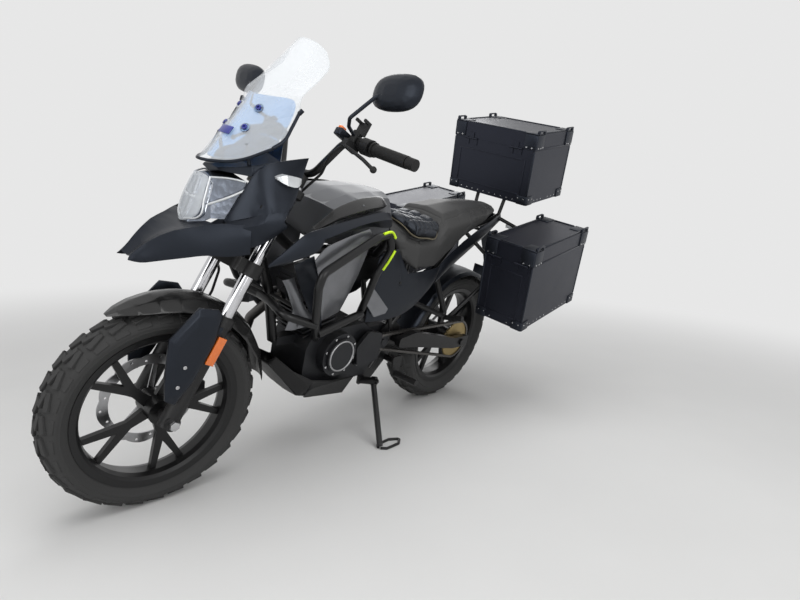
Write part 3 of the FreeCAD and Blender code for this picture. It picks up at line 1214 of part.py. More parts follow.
def foot_pegs():
    """Rider's and pillion's pegs on their brackets, the gear lever and the brake pedal."""
    bracket = plate_on_side("peg_bracket", ((484, 330, 10), (464, 240, 8), (430, 236, 8), (424, 330, 10)),
                            8, 124)
    peg = cylinder("rider_peg", 12, 104, (446, 132, 254), (0, 1, 0.06))
    pillion = tube("pillion_arm", ((382, 76, 532), (180, 128, 458), (270, 78, 658)), "rail_radius", 12)
    pillion_peg = cylinder("pillion_peg", 11, 92, (184, 124, 456), (0, 1, 0.3))
    whole = both_sides("pegs_pair", fuse("pegs_left", [bracket, peg, pillion, pillion_peg]))
    return cut("pegs_seated", cut("pegs_cleared", whole, frame), rack)


pegs = node("foot_pegs", foot_pegs(), PARKED)
node("exhaust", cut("exhaust_seated", pipes, fuse("exhaust_seats", [motor, pegs])), PARKED)


def ground(x, left, up):
    """A point over the ground the machine stands on, given in the upright machine."""
    return (x, left * math.cos(LEAN) - up * math.sin(LEAN), left * math.sin(LEAN) + up * math.cos(LEAN))


def side_stand():
    """A fork-ended leg and the wire loop that is welded on as a larger foot."""
    wire = size("foot_wire")
    low = wire - size("ground_lift")
    foot = V(*ground(637, 279, low + 6))
    heading = (foot - STAND_PIVOT).normalize()
    leg = cylinder("stand_leg", "stand_radius", (foot - STAND_PIVOT).Length - 14, STAND_PIVOT + heading * 14,
                   heading)
    loop = tube("stand_foot", (ground(639, 284, low), ground(624, 302, low), ground(560, 304, low),
                               ground(524, 279, low), ground(560, 254, low), ground(624, 256, low),
                               ground(639, 272, low)), "foot_wire", 8)
    eye = cylinder("stand_eye", 18, 18, STAND_PIVOT - STAND_AXIS * 5.5, STAND_AXIS)
    bore = cylinder("stand_bore", 6 + size("running_gap"), 60, STAND_PIVOT - STAND_AXIS * 30, STAND_AXIS)
    return cut("side_stand_cut", fuse("side_stand_whole", [leg, loop, eye]), bore)


node("side_stand", side_stand(), PARKED)

doc.recompute()
failed = [item.Label for item in doc.Objects if "Invalid" in item.State or "Error" in item.State]
if failed:
    raise RuntimeError("these did not compute: " + ", ".join(failed))
unsound = [name for name, item in nodes.items() if item.Shape.isNull() or not item.Shape.isValid()]
if unsound:
    raise RuntimeError("these have no sound shape: " + ", ".join(unsound))
for name, item in nodes.items():
    item.Shape.exportStep("parts/%s.step" % name)
print(len(nodes), "sub-parts written")
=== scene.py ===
"""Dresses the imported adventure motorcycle: finishes, bodywork, tyre tread, seat, cases and trim."""
import json
import math

import bmesh
import bpy
from mathutils import Matrix, Vector
from mathutils.bvhtree import BVHTree


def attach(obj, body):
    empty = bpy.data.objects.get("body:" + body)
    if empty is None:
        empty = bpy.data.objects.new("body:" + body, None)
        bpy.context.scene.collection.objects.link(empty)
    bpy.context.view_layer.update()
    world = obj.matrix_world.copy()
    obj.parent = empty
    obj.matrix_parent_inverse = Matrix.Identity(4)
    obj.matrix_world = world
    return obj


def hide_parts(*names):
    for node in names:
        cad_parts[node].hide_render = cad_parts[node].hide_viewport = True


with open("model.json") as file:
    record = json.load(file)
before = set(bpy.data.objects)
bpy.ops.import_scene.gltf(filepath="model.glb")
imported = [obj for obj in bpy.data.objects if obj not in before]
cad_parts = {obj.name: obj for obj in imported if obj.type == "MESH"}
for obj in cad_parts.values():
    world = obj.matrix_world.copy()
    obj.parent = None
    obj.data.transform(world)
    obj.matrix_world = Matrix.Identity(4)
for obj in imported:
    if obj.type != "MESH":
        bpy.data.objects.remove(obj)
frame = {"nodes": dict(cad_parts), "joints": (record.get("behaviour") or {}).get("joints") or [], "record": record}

bl_info = {
    "name": "Adventure Motorcycle Dressing",
    "version": (1, 0, 0),
    "blender": (4, 5, 0),
    "location": "View3D > Sidebar > Motorcycle",
    "description": "Finishes, soft goods, tread and trim for a parked adventure motorcycle",
    "category": "Object",
}

MM = 0.001
JOINTS = {joint["name"]: joint for joint in frame["joints"]}
NODES = frame["nodes"]
BODIES = frame["record"]["behaviour"]["bodies"]
BODY_OF = {node: body for body, nodes in BODIES.items() for node in nodes}
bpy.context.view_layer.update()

# Radii of the tyres and of their beads on the rims, and the room left to the CAD solids, in millimetres
FRONT_RADIUS = 293
REAR_RADIUS = 314
BEAD_RADIUS = 216
TREAD_GAP = 0.5
BEAD_GAP = 0.3
# Depth of the grooves between the tread blocks, of the blocks and of the carcass's wall, in millimetres
GROOVE = 7
BLOCK_DEPTH = 11
CARCASS_WALL = 7
# Points closer than this are one, in metres: in a CAD node's mesh, and where a spun ring closes
WELD = 0.00002
RING_WELD = 0.00005
# Steps of a spun ring, and segments round a quarter of a pipe
RING_STEPS = 96
PIPE_SEGMENTS = 4
# Width of the bevel along a moulded panel's sharp edges, in metres, and how many degrees less than a
# sharp edge's angle an edge is still bevelled and still kept from being smoothed
PANEL_BEVEL = 0.0016
BEVEL_MARGIN = 4
SMOOTH_MARGIN = 6
# The cushion's quilting, in millimetres: where its rows start, their pitch on its top and on its flanks,
# the pitch of its columns, and how far from the middle the flanks begin
QUILT_START = 352
TOP_ROW = 42
FLANK_ROW = 25
QUILT_COLUMN = 56
FLANK = 84
# Last frame of the cloth simulation, and its air pressure
CLOTH_FRAMES = 20
CLOTH_PRESSURE = 4


def axes_at(origin, side, up):
    """A matrix whose x is forward, y is side and z is up, at an origin."""
    side = Vector(side).normalized()
    up = Vector(up).normalized()
    forward = side.cross(up).normalized()
    up = forward.cross(side)
    turned = Matrix((forward, side, up)).transposed().to_4x4()
    return Matrix.Translation(origin) @ turned


def machine_frame():
    """The upright machine's own axes as it leans: origin on the ground under the rear axle."""
    axle = JOINTS["rear_wheel_spin"]
    side = Vector(axle["axis"]).normalized()
    up = Vector((1, 0, 0)).cross(side)
    return axes_at(Vector(axle["pos_m"]) - up * (REAR_RADIUS * MM), side, up)


def fork_frame():
    """The fork's axes: origin on the front axle, z up along the legs."""
    axle = JOINTS["front_wheel_spin"]
    return axes_at(Vector(axle["pos_m"]), axle["axis"], JOINTS["steering"]["axis"])


MACHINE = machine_frame()
FORK = fork_frame()


def bike(x, y, z):
    """A point of the upright machine, in millimetres, where it stands parked."""
    return MACHINE @ (Vector((x, y, z)) * MM)


def fork(x, y, z):
    """A point of the fork, in millimetres, where it stands parked."""
    return FORK @ (Vector((x, y, z)) * MM)


def bike_line(points, side=1):
    """Points of the upright machine for a list of places, on the left or mirrored to the right."""
    return [bike(x, y * side, z) for x, y, z in points]


def toward(place, x, y, z):
    """A direction given in a frame's own axes."""
    return place.to_3x3() @ Vector((x, y, z))


class StageSizes(bpy.types.PropertyGroup):
    """Where the camera stands and how the stage is lit."""

    camera_place: bpy.props.FloatVectorProperty(
        name="Camera place", description="Where the camera stands", default=(1.4805, 1.3368, 0.8702),
        subtype="XYZ", unit="LENGTH")
    camera_heading: bpy.props.FloatProperty(
        name="Heading", description="Direction the camera looks back along, from the x axis",
        default=math.radians(38.848), subtype="ANGLE")
    camera_pitch: bpy.props.FloatProperty(
        name="Pitch", description="How far the camera looks down", default=math.radians(9.4625),
        subtype="ANGLE")
    camera_roll: bpy.props.FloatProperty(
        name="Roll", description="How far the camera is rolled", default=math.radians(2.7245),
        subtype="ANGLE")
    camera_lens: bpy.props.FloatProperty(
        name="Lens", description="Focal length on a 36 mm sensor", default=25.116, min=1)
    floor_color: bpy.props.FloatVectorProperty(
        name="Floor", description="Colour of the floor and the background", default=(0.66, 0.66, 0.655),
        subtype="COLOR", size=3)
    key_power: bpy.props.FloatProperty(
        name="Key light", description="Power of the large overhead lamp", default=88.0, min=0, unit="POWER")
    side_power: bpy.props.FloatProperty(
        name="Side light", description="Power of the lamp beside the camera", default=42.0, min=0,
        unit="POWER")
    sky_light: bpy.props.FloatProperty(
        name="Sky light", description="Strength of the even light from all round", default=0.32, min=0)


class FinishColors(bpy.types.PropertyGroup):
    """Colours of the main finishes."""

    # A near black with a slight blue cast: the blue is a painted sheen of the sky, the black is the panels' own
    plastic: bpy.props.FloatVectorProperty(
        name="Satin bodywork", description="Satin black panels", default=(0.004, 0.0045, 0.0065),
        subtype="COLOR", size=3)
    gloss: bpy.props.FloatVectorProperty(
        name="Gloss bodywork", description="Gloss black panels", default=(0.004, 0.0042, 0.005),
        subtype="COLOR", size=3)
    tank: bpy.props.FloatVectorProperty(
        name="Tank", description="Dark metallic grey", default=(0.024, 0.026, 0.032), subtype="COLOR", size=3)
    silver: bpy.props.FloatVectorProperty(
        name="Silver panels", description="Gunmetal silver", default=(0.2, 0.205, 0.22),
        subtype="COLOR", size=3)
    # A near black with a blue cast: the blue is a painted sheen of the sky, the black is the coating's own
    cases: bpy.props.FloatVectorProperty(
        name="Cases", description="Black coated aluminium", default=(0.006, 0.0065, 0.0095),
        subtype="COLOR", size=3)
    strap: bpy.props.FloatVectorProperty(
        name="Bright strap", description="Fluorescent strip", default=(0.62, 0.9, 0.02),
        subtype="COLOR", size=3)


def clear_selection():
    """Leaves edit mode and selects nothing."""
    active = bpy.context.view_layer.objects.active
    if active and active.mode != "OBJECT":
        bpy.ops.object.mode_set(mode="OBJECT")
    bpy.ops.object.select_all(action="DESELECT")


def pick(piece):
    """Selects one object and makes it the active one."""
    clear_selection()
    piece.select_set(True)
    bpy.context.view_layer.objects.active = piece


def edit_all(piece):
    """Goes into edit mode with the whole of a piece selected."""
    pick(piece)
    bpy.ops.object.mode_set(mode="EDIT")
    bpy.ops.mesh.select_all(action="SELECT")


def apply_modifiers(piece):
    """Applies every modifier of a piece in order."""
    pick(piece)
    for modifier in list(piece.modifiers):
        bpy.ops.object.modifier_apply(modifier=modifier.name)


def settle(piece):
    """Puts the piece's place into its mesh, so that its object sits at the origin."""
    pick(piece)
    bpy.ops.object.transform_apply(location=True, rotation=True, scale=True)


def paint(piece, name):
    """Gives the whole piece one material."""
    slots = piece.data.materials
    finish = bpy.data.materials[name]
    if not slots:
        slots.append(finish)
    for index in range(len(slots)):
        slots[index] = finish
    return piece


def node_copy(node, name):
    """A welded copy of a CAD node's mesh with flat triangles joined, as a new object."""
    piece = bpy.data.objects.new(name, NODES[node].data.copy())
    bpy.context.scene.collection.objects.link(piece)
    edit_all(piece)
    bpy.ops.mesh.remove_doubles(threshold=WELD)
    bpy.ops.mesh.tris_convert_to_quads(face_threshold=math.radians(40), shape_threshold=math.radians(60))
    bpy.ops.object.mode_set(mode="OBJECT")
    return piece


def moulded(node, name, finish, sharp, levels):
    """A moulded panel over a CAD node: sharp edges bevelled, gentle ones smoothed."""
    piece = node_copy(node, name)
    crease = piece.data.attributes.new("crease_edge", "FLOAT", "EDGE")
    shell = bmesh.new()
    shell.from_mesh(piece.data)
    shell.edges.ensure_lookup_table()
    sharpness = [edge.calc_face_angle(math.pi) > math.radians(sharp) for edge in shell.edges]
    shell.free()
    for index, is_sharp in enumerate(sharpness):
        crease.data[index].value = 1.0 if is_sharp else 0.0
    soften = piece.modifiers.new("soften", "SUBSURF")
    soften.levels = soften.render_levels = levels
    edges = piece.modifiers.new("edges", "BEVEL")
    edges.width = PANEL_BEVEL
    edges.segments = 2
    edges.limit_method = "ANGLE"
    edges.angle_limit = math.radians(sharp - BEVEL_MARGIN)
    apply_modifiers(piece)
    return ready(piece, finish, node, sharp=sharp - SMOOTH_MARGIN, stands_in=True)


def choose_faces(piece, test):
    """Goes into edit mode with only the faces selected whose centre and normal pass a test."""
    pick(piece)
    bpy.ops.object.mode_set(mode="EDIT")
    bpy.ops.mesh.select_mode(type="FACE")
    bpy.ops.mesh.select_all(action="DESELECT")
    bpy.ops.object.mode_set(mode="OBJECT")
    for face in piece.data.polygons:
        face.select = bool(test(face.center, face.normal))
    bpy.ops.object.mode_set(mode="EDIT")


def block(name, place, sizes, middle, edge=0.0, segments=2):
    """A block with rounded edges in a frame; sizes and middle are in millimetres."""
    spot = place @ Matrix.Translation(Vector(middle) * MM)
    clear_selection()
    bpy.ops.mesh.primitive_cube_add(size=1, location=spot.to_translation(), rotation=spot.to_euler(),
                                    scale=Vector(sizes) * MM)
    piece = bpy.context.object
    piece.name = name
    settle(piece)
    if edge:
        choose_faces(piece, lambda centre, normal: True)
        bpy.ops.mesh.bevel(offset=edge * MM, segments=segments, affect="EDGES")
    clear_selection()
    return piece


def round_bar(name, start, end, radius, sides=20, edge=0.0):
    """A round bar with eased ends from one point to another, radius and easing in millimetres."""
    axis = end - start
    clear_selection()
    bpy.ops.mesh.primitive_cylinder_add(vertices=sides, radius=radius * MM, depth=axis.length,
                                        location=(start + end) / 2,
                                        rotation=axis.to_track_quat("Z", "Y").to_euler())
    piece = bpy.context.object
    piece.name = name
    settle(piece)
    if edge:
        choose_faces(piece, lambda centre, normal: abs(normal.dot(axis.normalized())) > 0.9)
        bpy.ops.mesh.bevel(offset=edge * MM, segments=2, affect="EDGES")
    clear_selection()
    return piece


def screw(name, foot, out, radius, height, sides=12):
    """A round screw head on a surface, with a socket sunk to about half its height in its top."""
    out = Vector(out).normalized()
    piece = round_bar(name, foot - out * MM, foot + out * height * MM, radius, sides, edge=radius * 0.18)
    choose_faces(piece, lambda centre, normal: normal.dot(out) > 0.98)
    bpy.ops.mesh.inset(thickness=radius * 0.35 * MM)
    bpy.ops.mesh.extrude_region_move(TRANSFORM_OT_translate={"value": -out * height * 0.55 * MM})
    clear_selection()
    return piece


def copied(piece, name, move):
    """A copy with its own mesh, moved by a matrix and kept right side out where that mirrors it."""
    twin = bpy.data.objects.new(name, piece.data.copy())
    bpy.context.scene.collection.objects.link(twin)
    twin.data.transform(move)
    if move.determinant() < 0:
        twin.data.flip_normals()
    return twin


def joined(name, pieces):
    """One object out of several."""
    clear_selection()
    for piece in pieces:
        piece.select_set(True)
    bpy.context.view_layer.objects.active = pieces[0]
    bpy.ops.object.join()
    pieces[0].name = name
    return pieces[0]


def pipe(name, points, radius, closed=False):
    """A round tube through points in metres, radius in millimetres, as a mesh."""
    line = bpy.data.curves.new(name, "CURVE")
    line.dimensions = "3D"
    line.bevel_depth = radius * MM
    line.bevel_resolution = PIPE_SEGMENTS
    line.use_fill_caps = True
    run = line.splines.new("BEZIER")
    run.bezier_points.add(len(points) - 1)
    for knot, point in zip(run.bezier_points, points):
        knot.co = point
        knot.handle_left_type = knot.handle_right_type = "AUTO"
    run.use_cyclic_u = closed
    piece = bpy.data.objects.new(name, line)
    bpy.context.scene.collection.objects.link(piece)
    pick(piece)
    bpy.ops.object.convert(target="MESH")
    return bpy.context.object


def ready(piece, name, node, sharp=35, stands_in=False):
    pick(piece)
    bpy.ops.object.shade_smooth_by_angle(angle=math.radians(sharp))
    paint(piece, name)
    if stands_in:
        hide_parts(node)
    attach(piece, BODY_OF[node])
    return piece


def sheet(name, rows, thickness=3.0):
    """A smooth sheet over rows of points from the middle to the left edge, mirrored to the right."""
    full = [[(x, -y, z) for x, y, z in reversed(row[1:])] + list(row) for row in rows]
    wide = len(full[0])
    clear_selection()
    bpy.ops.mesh.primitive_grid_add(x_subdivisions=wide - 1, y_subdivisions=len(full) - 1, size=1)
    piece = bpy.context.object
    piece.name = name
    for index, point in enumerate(piece.data.vertices):
        point.co = bike(*full[index // wide][index % wide])
    wall = piece.modifiers.new("wall", "SOLIDIFY")
    wall.thickness = thickness * MM
    wall.offset = 0
    soft = piece.modifiers.new("soft", "SUBSURF")
    soft.levels = soft.render_levels = 3
    apply_modifiers(piece)
    edit_all(piece)
    bpy.ops.mesh.normals_make_consistent(inside=False)
    clear_selection()
    return piece


def on_surface(node, start, heading):
    """Where a line from a start first meets a CAD node."""
    mesh = NODES[node].data
    shape = BVHTree.FromPolygons([point.co for point in mesh.vertices],
                                 [face.vertices for face in mesh.polygons])
    place = shape.ray_cast(start, heading.normalized())[0]
    if place is None:
        raise ValueError("no surface of %s there" % node)
    return place


def wheel_frame(joint):
    """A wheel's axes: origin at its middle, y along the axle to the left."""
    axle = JOINTS[joint]
    return axes_at(Vector(axle["pos_m"]), axle["axis"], (0, 0, 1))


def wire(tree, kind, inputs=None, **settings):
    """Adds a shader node; each input is a value, or a socket to link from."""
    item = tree.nodes.new(kind)
    for key, value in settings.items():
        setattr(item, key, value)
    for key, value in (inputs or {}).items():
        if isinstance(value, bpy.types.NodeSocket):
            tree.links.new(value, item.inputs[key])
        else:
            item.inputs[key].default_value = value
    return item


def new_group(name, inputs, outputs):
    """An empty shader node group with its sockets, and its two end nodes."""
    tree = bpy.data.node_groups.new(name, "ShaderNodeTree")
    kinds = {float: "NodeSocketFloat", tuple: "NodeSocketColor"}
    for label, default in inputs:
        socket = tree.interface.new_socket(name=label, in_out="INPUT", socket_type=kinds[type(default)])
        socket.default_value = default
    for label, kind in outputs:
        tree.interface.new_socket(name=label, in_out="OUTPUT", socket_type=kind)
    return tree, tree.nodes.new("NodeGroupInput"), tree.nodes.new("NodeGroupOutput")


def maths(tree, operation, first, second, clamp=False):
    """The result of one arithmetic node over two sockets or values."""
    item = wire(tree, "ShaderNodeMath", {0: first, 1: second}, operation=operation, use_clamp=clamp)
    return item.outputs[0]


def spread(tree, value, low, high, bottom=0.0, top=1.0, **settings):
    """A value whose span from low to high is stretched to the span from bottom to top."""
    item = wire(tree, "ShaderNodeMapRange", {"Value": value, "From Min": low, "From Max": high,
                                             "To Min": bottom, "To Max": top}, **settings)
    return item.outputs[0]


def seen_rays(tree):
    """One for rays from the camera, from a reflection or through glass, and nought for the others."""
    path = wire(tree, "ShaderNodeLightPath")
    seen = maths(tree, "MAXIMUM", path.outputs["Is Camera Ray"], path.outputs["Is Glossy Ray"])
    return maths(tree, "MAXIMUM", seen, path.outputs["Is Transmission Ray"])


def weathered_group():
    """Colour and roughness that drift over a surface, with dust on what faces up."""
    tree, start, end = new_group(
        "weathered",
        (("Color", (0.1, 0.1, 0.1, 1.0)), ("Dust Color", (0.2, 0.18, 0.15, 1.0)), ("Roughness", 0.5),
         ("Drift", 0.1), ("Dust", 0.1), ("Scale", 12.0)),
        (("Color", "NodeSocketColor"), ("Roughness", "NodeSocketFloat"), ("Dust", "NodeSocketFloat")))
    place = wire(tree, "ShaderNodeTexCoord").outputs["Object"]
    broad = wire(tree, "ShaderNodeTexNoise", {"Vector": place, "Scale": start.outputs["Scale"],
                                              "Detail": 6.0, "Roughness": 0.6}).outputs["Fac"]
    drift = maths(tree, "MULTIPLY", maths(tree, "SUBTRACT", broad, 0.5), start.outputs["Drift"])
    rough = maths(tree, "ADD", start.outputs["Roughness"], drift)
    facing = wire(tree, "ShaderNodeNewGeometry").outputs["Normal"]
    upward = spread(tree, wire(tree, "ShaderNodeSeparateXYZ", {"Vector": facing}).outputs["Z"], 0.1, 0.95)
    fine = wire(tree, "ShaderNodeTexNoise", {"Vector": place, "Scale": 90.0, "Detail": 8.0}).outputs["Fac"]
    lying = maths(tree, "MULTIPLY", upward, spread(tree, fine, 0.35, 0.75))
    dust = maths(tree, "MULTIPLY", lying, start.outputs["Dust"], clamp=True)
    lighter = spread(tree, broad, 0.25, 0.75, 0.82, 1.18)
    toned = wire(tree, "ShaderNodeVectorMath", {0: start.outputs["Color"], "Scale": lighter},
                 operation="SCALE")
    mixed = wire(tree, "ShaderNodeMix", {"Factor": dust, 6: toned.outputs[0],
                                         7: start.outputs["Dust Color"]}, data_type="RGBA")
    final = maths(tree, "ADD", rough, maths(tree, "MULTIPLY", dust, 0.6), clamp=True)
    tree.links.new(mixed.outputs[2], end.inputs["Color"])
    tree.links.new(final, end.inputs["Roughness"])
    tree.links.new(dust, end.inputs["Dust"])


def grain_group():
    """The fine pebble of moulded plastic, powder coat and castings, as a height."""
    tree, start, end = new_group("grain", (("Scale", 900.0), ("Waviness", 0.3)),
                                 (("Height", "NodeSocketFloat"),))
    place = wire(tree, "ShaderNodeTexCoord").outputs["Object"]
    pebble = wire(tree, "ShaderNodeTexVoronoi", {"Vector": place, "Scale": start.outputs["Scale"]})
    wave = wire(tree, "ShaderNodeTexNoise", {"Vector": place, "Scale": 30.0, "Detail": 3.0})
    swell = maths(tree, "MULTIPLY", wave.outputs["Fac"], start.outputs["Waviness"])
    tree.links.new(maths(tree, "ADD", pebble.outputs["Distance"], swell), end.inputs["Height"])


def finish(name, color, roughness, metallic=0.0, coat=0.0, coat_roughness=0.1, drift=0.12, dust=0.1,
           grain=900.0, bump=0.05, waviness=0.3, scale=12.0, specular=0.5, dust_color=(0.2, 0.18, 0.15),
           painted_sheen_tint=(1.0, 1.0, 1.0)):
    """A weathered finish with grain, and reflections whose tint can paint a bluish sky sheen: every hard material
    starts here.
    """
    material = bpy.data.materials.new(name)
    material.use_nodes = True
    tree = material.node_tree
    shader = tree.nodes["Principled BSDF"]
    wear = wire(tree, "ShaderNodeGroup", node_tree=bpy.data.node_groups["weathered"])
    for label, value in (("Color", (*color, 1)), ("Dust Color", (*dust_color, 1)), ("Roughness", roughness),
                         ("Drift", drift), ("Dust", dust), ("Scale", scale)):
        wear.inputs[label].default_value = value
    pebble = wire(tree, "ShaderNodeGroup", node_tree=bpy.data.node_groups["grain"])
    pebble.inputs["Scale"].default_value = grain
    pebble.inputs["Waviness"].default_value = waviness
    relief = wire(tree, "ShaderNodeBump", {"Height": pebble.outputs["Height"], "Strength": bump,
                                           "Distance": MM})
    tree.links.new(wear.outputs["Color"], shader.inputs["Base Color"])
    tree.links.new(wear.outputs["Roughness"], shader.inputs["Roughness"])
    tree.links.new(relief.outputs["Normal"], shader.inputs["Normal"])
    # The specular tint, where it is not white, paints a bluish sky sheen into the reflections
    for label, value in (("Metallic", metallic), ("Specular IOR Level", specular),
                         ("Specular Tint", (*painted_sheen_tint, 1)), ("Coat Weight", coat),
                         ("Coat Roughness", coat_roughness)):
        shader.inputs[label].default_value = value
    return material


class MOTORCYCLE_OT_finishes(bpy.types.Operator):
    """Builds every finish and gives each CAD piece its own"""

    bl_idname = "motorcycle.finishes"
    bl_label = "Finishes"

    def execute(self, context):
        colors = context.scene.finish_colors
        weathered_group()
        grain_group()
        # Its reflections are tinted blue: a painted sheen of the sky on the satin panels
        finish("satin_black", tuple(colors.plastic), 0.38, bump=0.03, dust=0.01, specular=0.42,
               painted_sheen_tint=(0.72, 0.82, 1.0))
        finish("gloss_black", tuple(colors.gloss), 0.16, coat=1.0, coat_roughness=0.03, bump=0.0, drift=0.05,
               dust=0.03)
        finish("rough_plastic", (0.006, 0.006, 0.0065), 0.5, bump=0.15, grain=700, dust=0.03, specular=0.35)
        finish("tank_grey", tuple(colors.tank), 0.32, metallic=0.7, coat=0.8, coat_roughness=0.06, bump=0.02,
               grain=2500, dust=0.04)
        finish("silver_paint", tuple(colors.silver), 0.36, metallic=0.75, coat=0.4, coat_roughness=0.2,
               bump=0.03, grain=2500, dust=0.04)
        finish("black_coat", (0.005, 0.005, 0.0055), 0.34, bump=0.06, grain=1400, dust=0.02, specular=0.4)
        # Its reflections are tinted blue: a painted sheen of the sky on the cases
        finish("case_coat", tuple(colors.cases), 0.4, bump=0.08, grain=1800, dust=0.03, specular=0.5,
               painted_sheen_tint=(0.7, 0.76, 1.0))
        finish("cast_black", (0.006, 0.006, 0.0065), 0.45, bump=0.2, grain=1100, dust=0.04, specular=0.4)
        finish("engine_cast", (0.02, 0.021, 0.024), 0.42, metallic=0.5, bump=0.25, grain=900, dust=0.12,
               waviness=0.6)
        finish("bright_cast", (0.42, 0.42, 0.43), 0.38, metallic=0.9, bump=0.15, grain=1200, dust=0.15)
        finish("chrome", (0.62, 0.62, 0.64), 0.1, metallic=1.0, bump=0.0, drift=0.06, dust=0.02)
        finish("steel", (0.4, 0.4, 0.41), 0.3, metallic=1.0, bump=0.05, grain=2000, dust=0.05)
        finish("dark_steel", (0.12, 0.115, 0.11), 0.42, metallic=0.9, bump=0.08, grain=1500, dust=0.2)
        finish("brass", (0.36, 0.27, 0.12), 0.38, metallic=1.0, bump=0.06, dust=0.15)
        finish("tyre_rubber", (0.008, 0.008, 0.0085), 0.72, bump=0.2, grain=700, dust=0.12, drift=0.15,
               specular=0.35, dust_color=(0.11, 0.1, 0.085))
        finish("soft_rubber", (0.006, 0.006, 0.006), 0.6, bump=0.15, grain=800, dust=0.02, specular=0.35)
        # Its reflections are tinted blue: a painted sheen of the sky on the vinyl
        finish("seat_vinyl", (0.0045, 0.0048, 0.0062), 0.42, bump=0.25, grain=650, dust=0.008, specular=0.4,
               painted_sheen_tint=(0.75, 0.8, 1.0))
        finish("amber_lens", (0.75, 0.16, 0.01), 0.2, coat=1.0, bump=0.0, dust=0.03)
        finish("bright_strap", tuple(colors.strap), 0.6, bump=0.2, grain=1500, dust=0.05)
        # Its reflections are tinted blue: a painted sheen of the sky on the cushion
        finish("quilt_fabric", (0.008, 0.0085, 0.01), 0.36, bump=0.3, grain=1600, dust=0.01, specular=0.6,
               painted_sheen_tint=(0.75, 0.84, 1.0))
        finish("pad_binding", (0.1, 0.085, 0.055), 0.6, bump=0.2, grain=1500, dust=0.05)
        # Its reflections are tinted blue: a painted sheen of the sky on the caps
        finish("case_cap", (0.006, 0.0065, 0.008), 0.42, bump=0.1, grain=900, dust=0.02, specular=0.5,
               painted_sheen_tint=(0.65, 0.75, 1.0))
        finish("bright_steel", (0.55, 0.55, 0.56), 0.25, metallic=1.0, bump=0.02, dust=0.02)
        finish("deep_blue", (0.004, 0.012, 0.2), 0.25, coat=0.8, bump=0.0, dust=0.0)
        finish("lamp_mirror", (0.5, 0.53, 0.58), 0.14, metallic=1.0, bump=0.0, drift=0.05, dust=0.0)
        finish("mirror_glass", (0.72, 0.75, 0.78), 0.03, metallic=1.0, bump=0.0, drift=0.02, dust=0.0)
        finish("red_lens", (0.42, 0.01, 0.008), 0.15, coat=1.0, bump=0.3, grain=300, dust=0.0)
        finish("lamp_side", (0.16, 0.18, 0.22), 0.22, metallic=0.9, coat=1.0, coat_roughness=0.03, bump=0.5,
               grain=70, waviness=1.5, dust=0.0)
        finish("lens_bright", (0.62, 0.64, 0.66), 0.12, metallic=0.35, coat=1.0, coat_roughness=0.03,
               bump=0.25, grain=260, dust=0.0)
        self.clear_screen("clear_screen", (0.5, 0.6, 0.7))
        self.clear_screen("lens_clear", (0.9, 0.93, 0.96))
        self.clear_screen("tinted_screen", (0.16, 0.4, 0.8))
        for node, name in NODE_FINISHES.items():
            paint(NODES[node], name)
        return {"FINISHED"}

    def clear_screen(self, name, color):
        """Clear or tinted moulded acrylic for the screen and the lamp's cover."""
        material = finish(name, color, 0.03, bump=0.0, drift=0.02, dust=0.0)
        shader = material.node_tree.nodes["Principled BSDF"]
        shader.inputs["Transmission Weight"].default_value = 1.0
        shader.inputs["Specular IOR Level"].default_value = 0.3
        shader.inputs["IOR"].default_value = 1.18


# The CAD nodes that have each finish
FINISHED_NODES = {
    "tyre_rubber": ("front_tyre", "rear_tyre"),
    "soft_rubber": ("grips", "seat_pad", "brake_hose", "clutch_cable"),
    "seat_vinyl": ("seat",),
    "steel": ("front_disc", "rear_disc"),
    "dark_steel": ("chain", "exhaust"),
    "chrome": ("fork_tubes",),
    "brass": ("rear_sprocket",),
    "engine_cast": ("engine",),
    "cast_black": ("fork_clamps", "fork_sliders", "front_caliper", "foot_pegs"),
    "black_coat": ("front_rim", "rear_rim", "handlebar", "main_frame", "swingarm", "rear_shock", "crash_bars",
                   "luggage_rack", "side_stand"),
    "rough_plastic": ("bar_controls", "skid_plate", "phone_holder", "air_box"),
    "satin_black": ("mirrors", "fork_guards", "tank_shrouds", "side_covers", "nose_fairing", "beak",
                    "dashboard", "tail_fairing", "rear_hugger"),
    "gloss_black": ("front_fender", "knee_panels"),
    "tank_grey": ("fuel_tank",),
    "silver_paint": ("silver_panels", "grey_panels"),
    "case_coat": ("top_case", "top_lid", "left_case", "left_lid", "right_case", "right_lid"),
    "lamp_side": ("headlight",),
    "lens_bright": ("indicators",),
    "clear_screen": ("windshield",),
}
NODE_FINISHES = {node: name for name, nodes in FINISHED_NODES.items() for node in nodes}


# The nodes that get a smoothed skin, and the angle in degrees from which their edges stay sharp
PANELS = {
    "tank_shrouds": 38, "nose_fairing": 38, "beak": 38, "side_covers": 38, "tail_fairing": 38,
    "dashboard": 38, "fork_guards": 38, "skid_plate": 38, "knee_panels": 38, "silver_panels": 38,
    "grey_panels": 38, "front_fender": 72, "rear_hugger": 38, "mirrors": 38,
}


class MOTORCYCLE_OT_bodywork(bpy.types.Operator):
    """Smooths the moulded panels over their CAD solids"""

    bl_idname = "motorcycle.bodywork"
    bl_label = "Bodywork"

    def execute(self, context):
        for node, sharp in PANELS.items():
            moulded(node, node + "_skin", NODE_FINISHES[node], sharp=sharp, levels=1)
        moulded("fuel_tank", "tank_skin", "tank_grey", sharp=42, levels=2)
        self.mirror_glass()
        return {"FINISHED"}

    def mirror_glass(self):
        """Silvers the flat back face of each mirror head, which looks up and back at the rider."""
        tilt = math.radians(18)
        back = toward(FORK, -math.cos(tilt), 0, math.sin(tilt))
        skin = bpy.data.objects["mirrors_skin"]
        level = FORK.inverted()
        choose_faces(skin, lambda centre, normal: normal.dot(back) > 0.985 and (level @ centre).z > 0.95)
        clear_selection()
        skin.data.materials.append(bpy.data.materials["mirror_glass"])
        for face in skin.data.polygons:
            if face.select:
                face.material_index = len(skin.data.materials) - 1


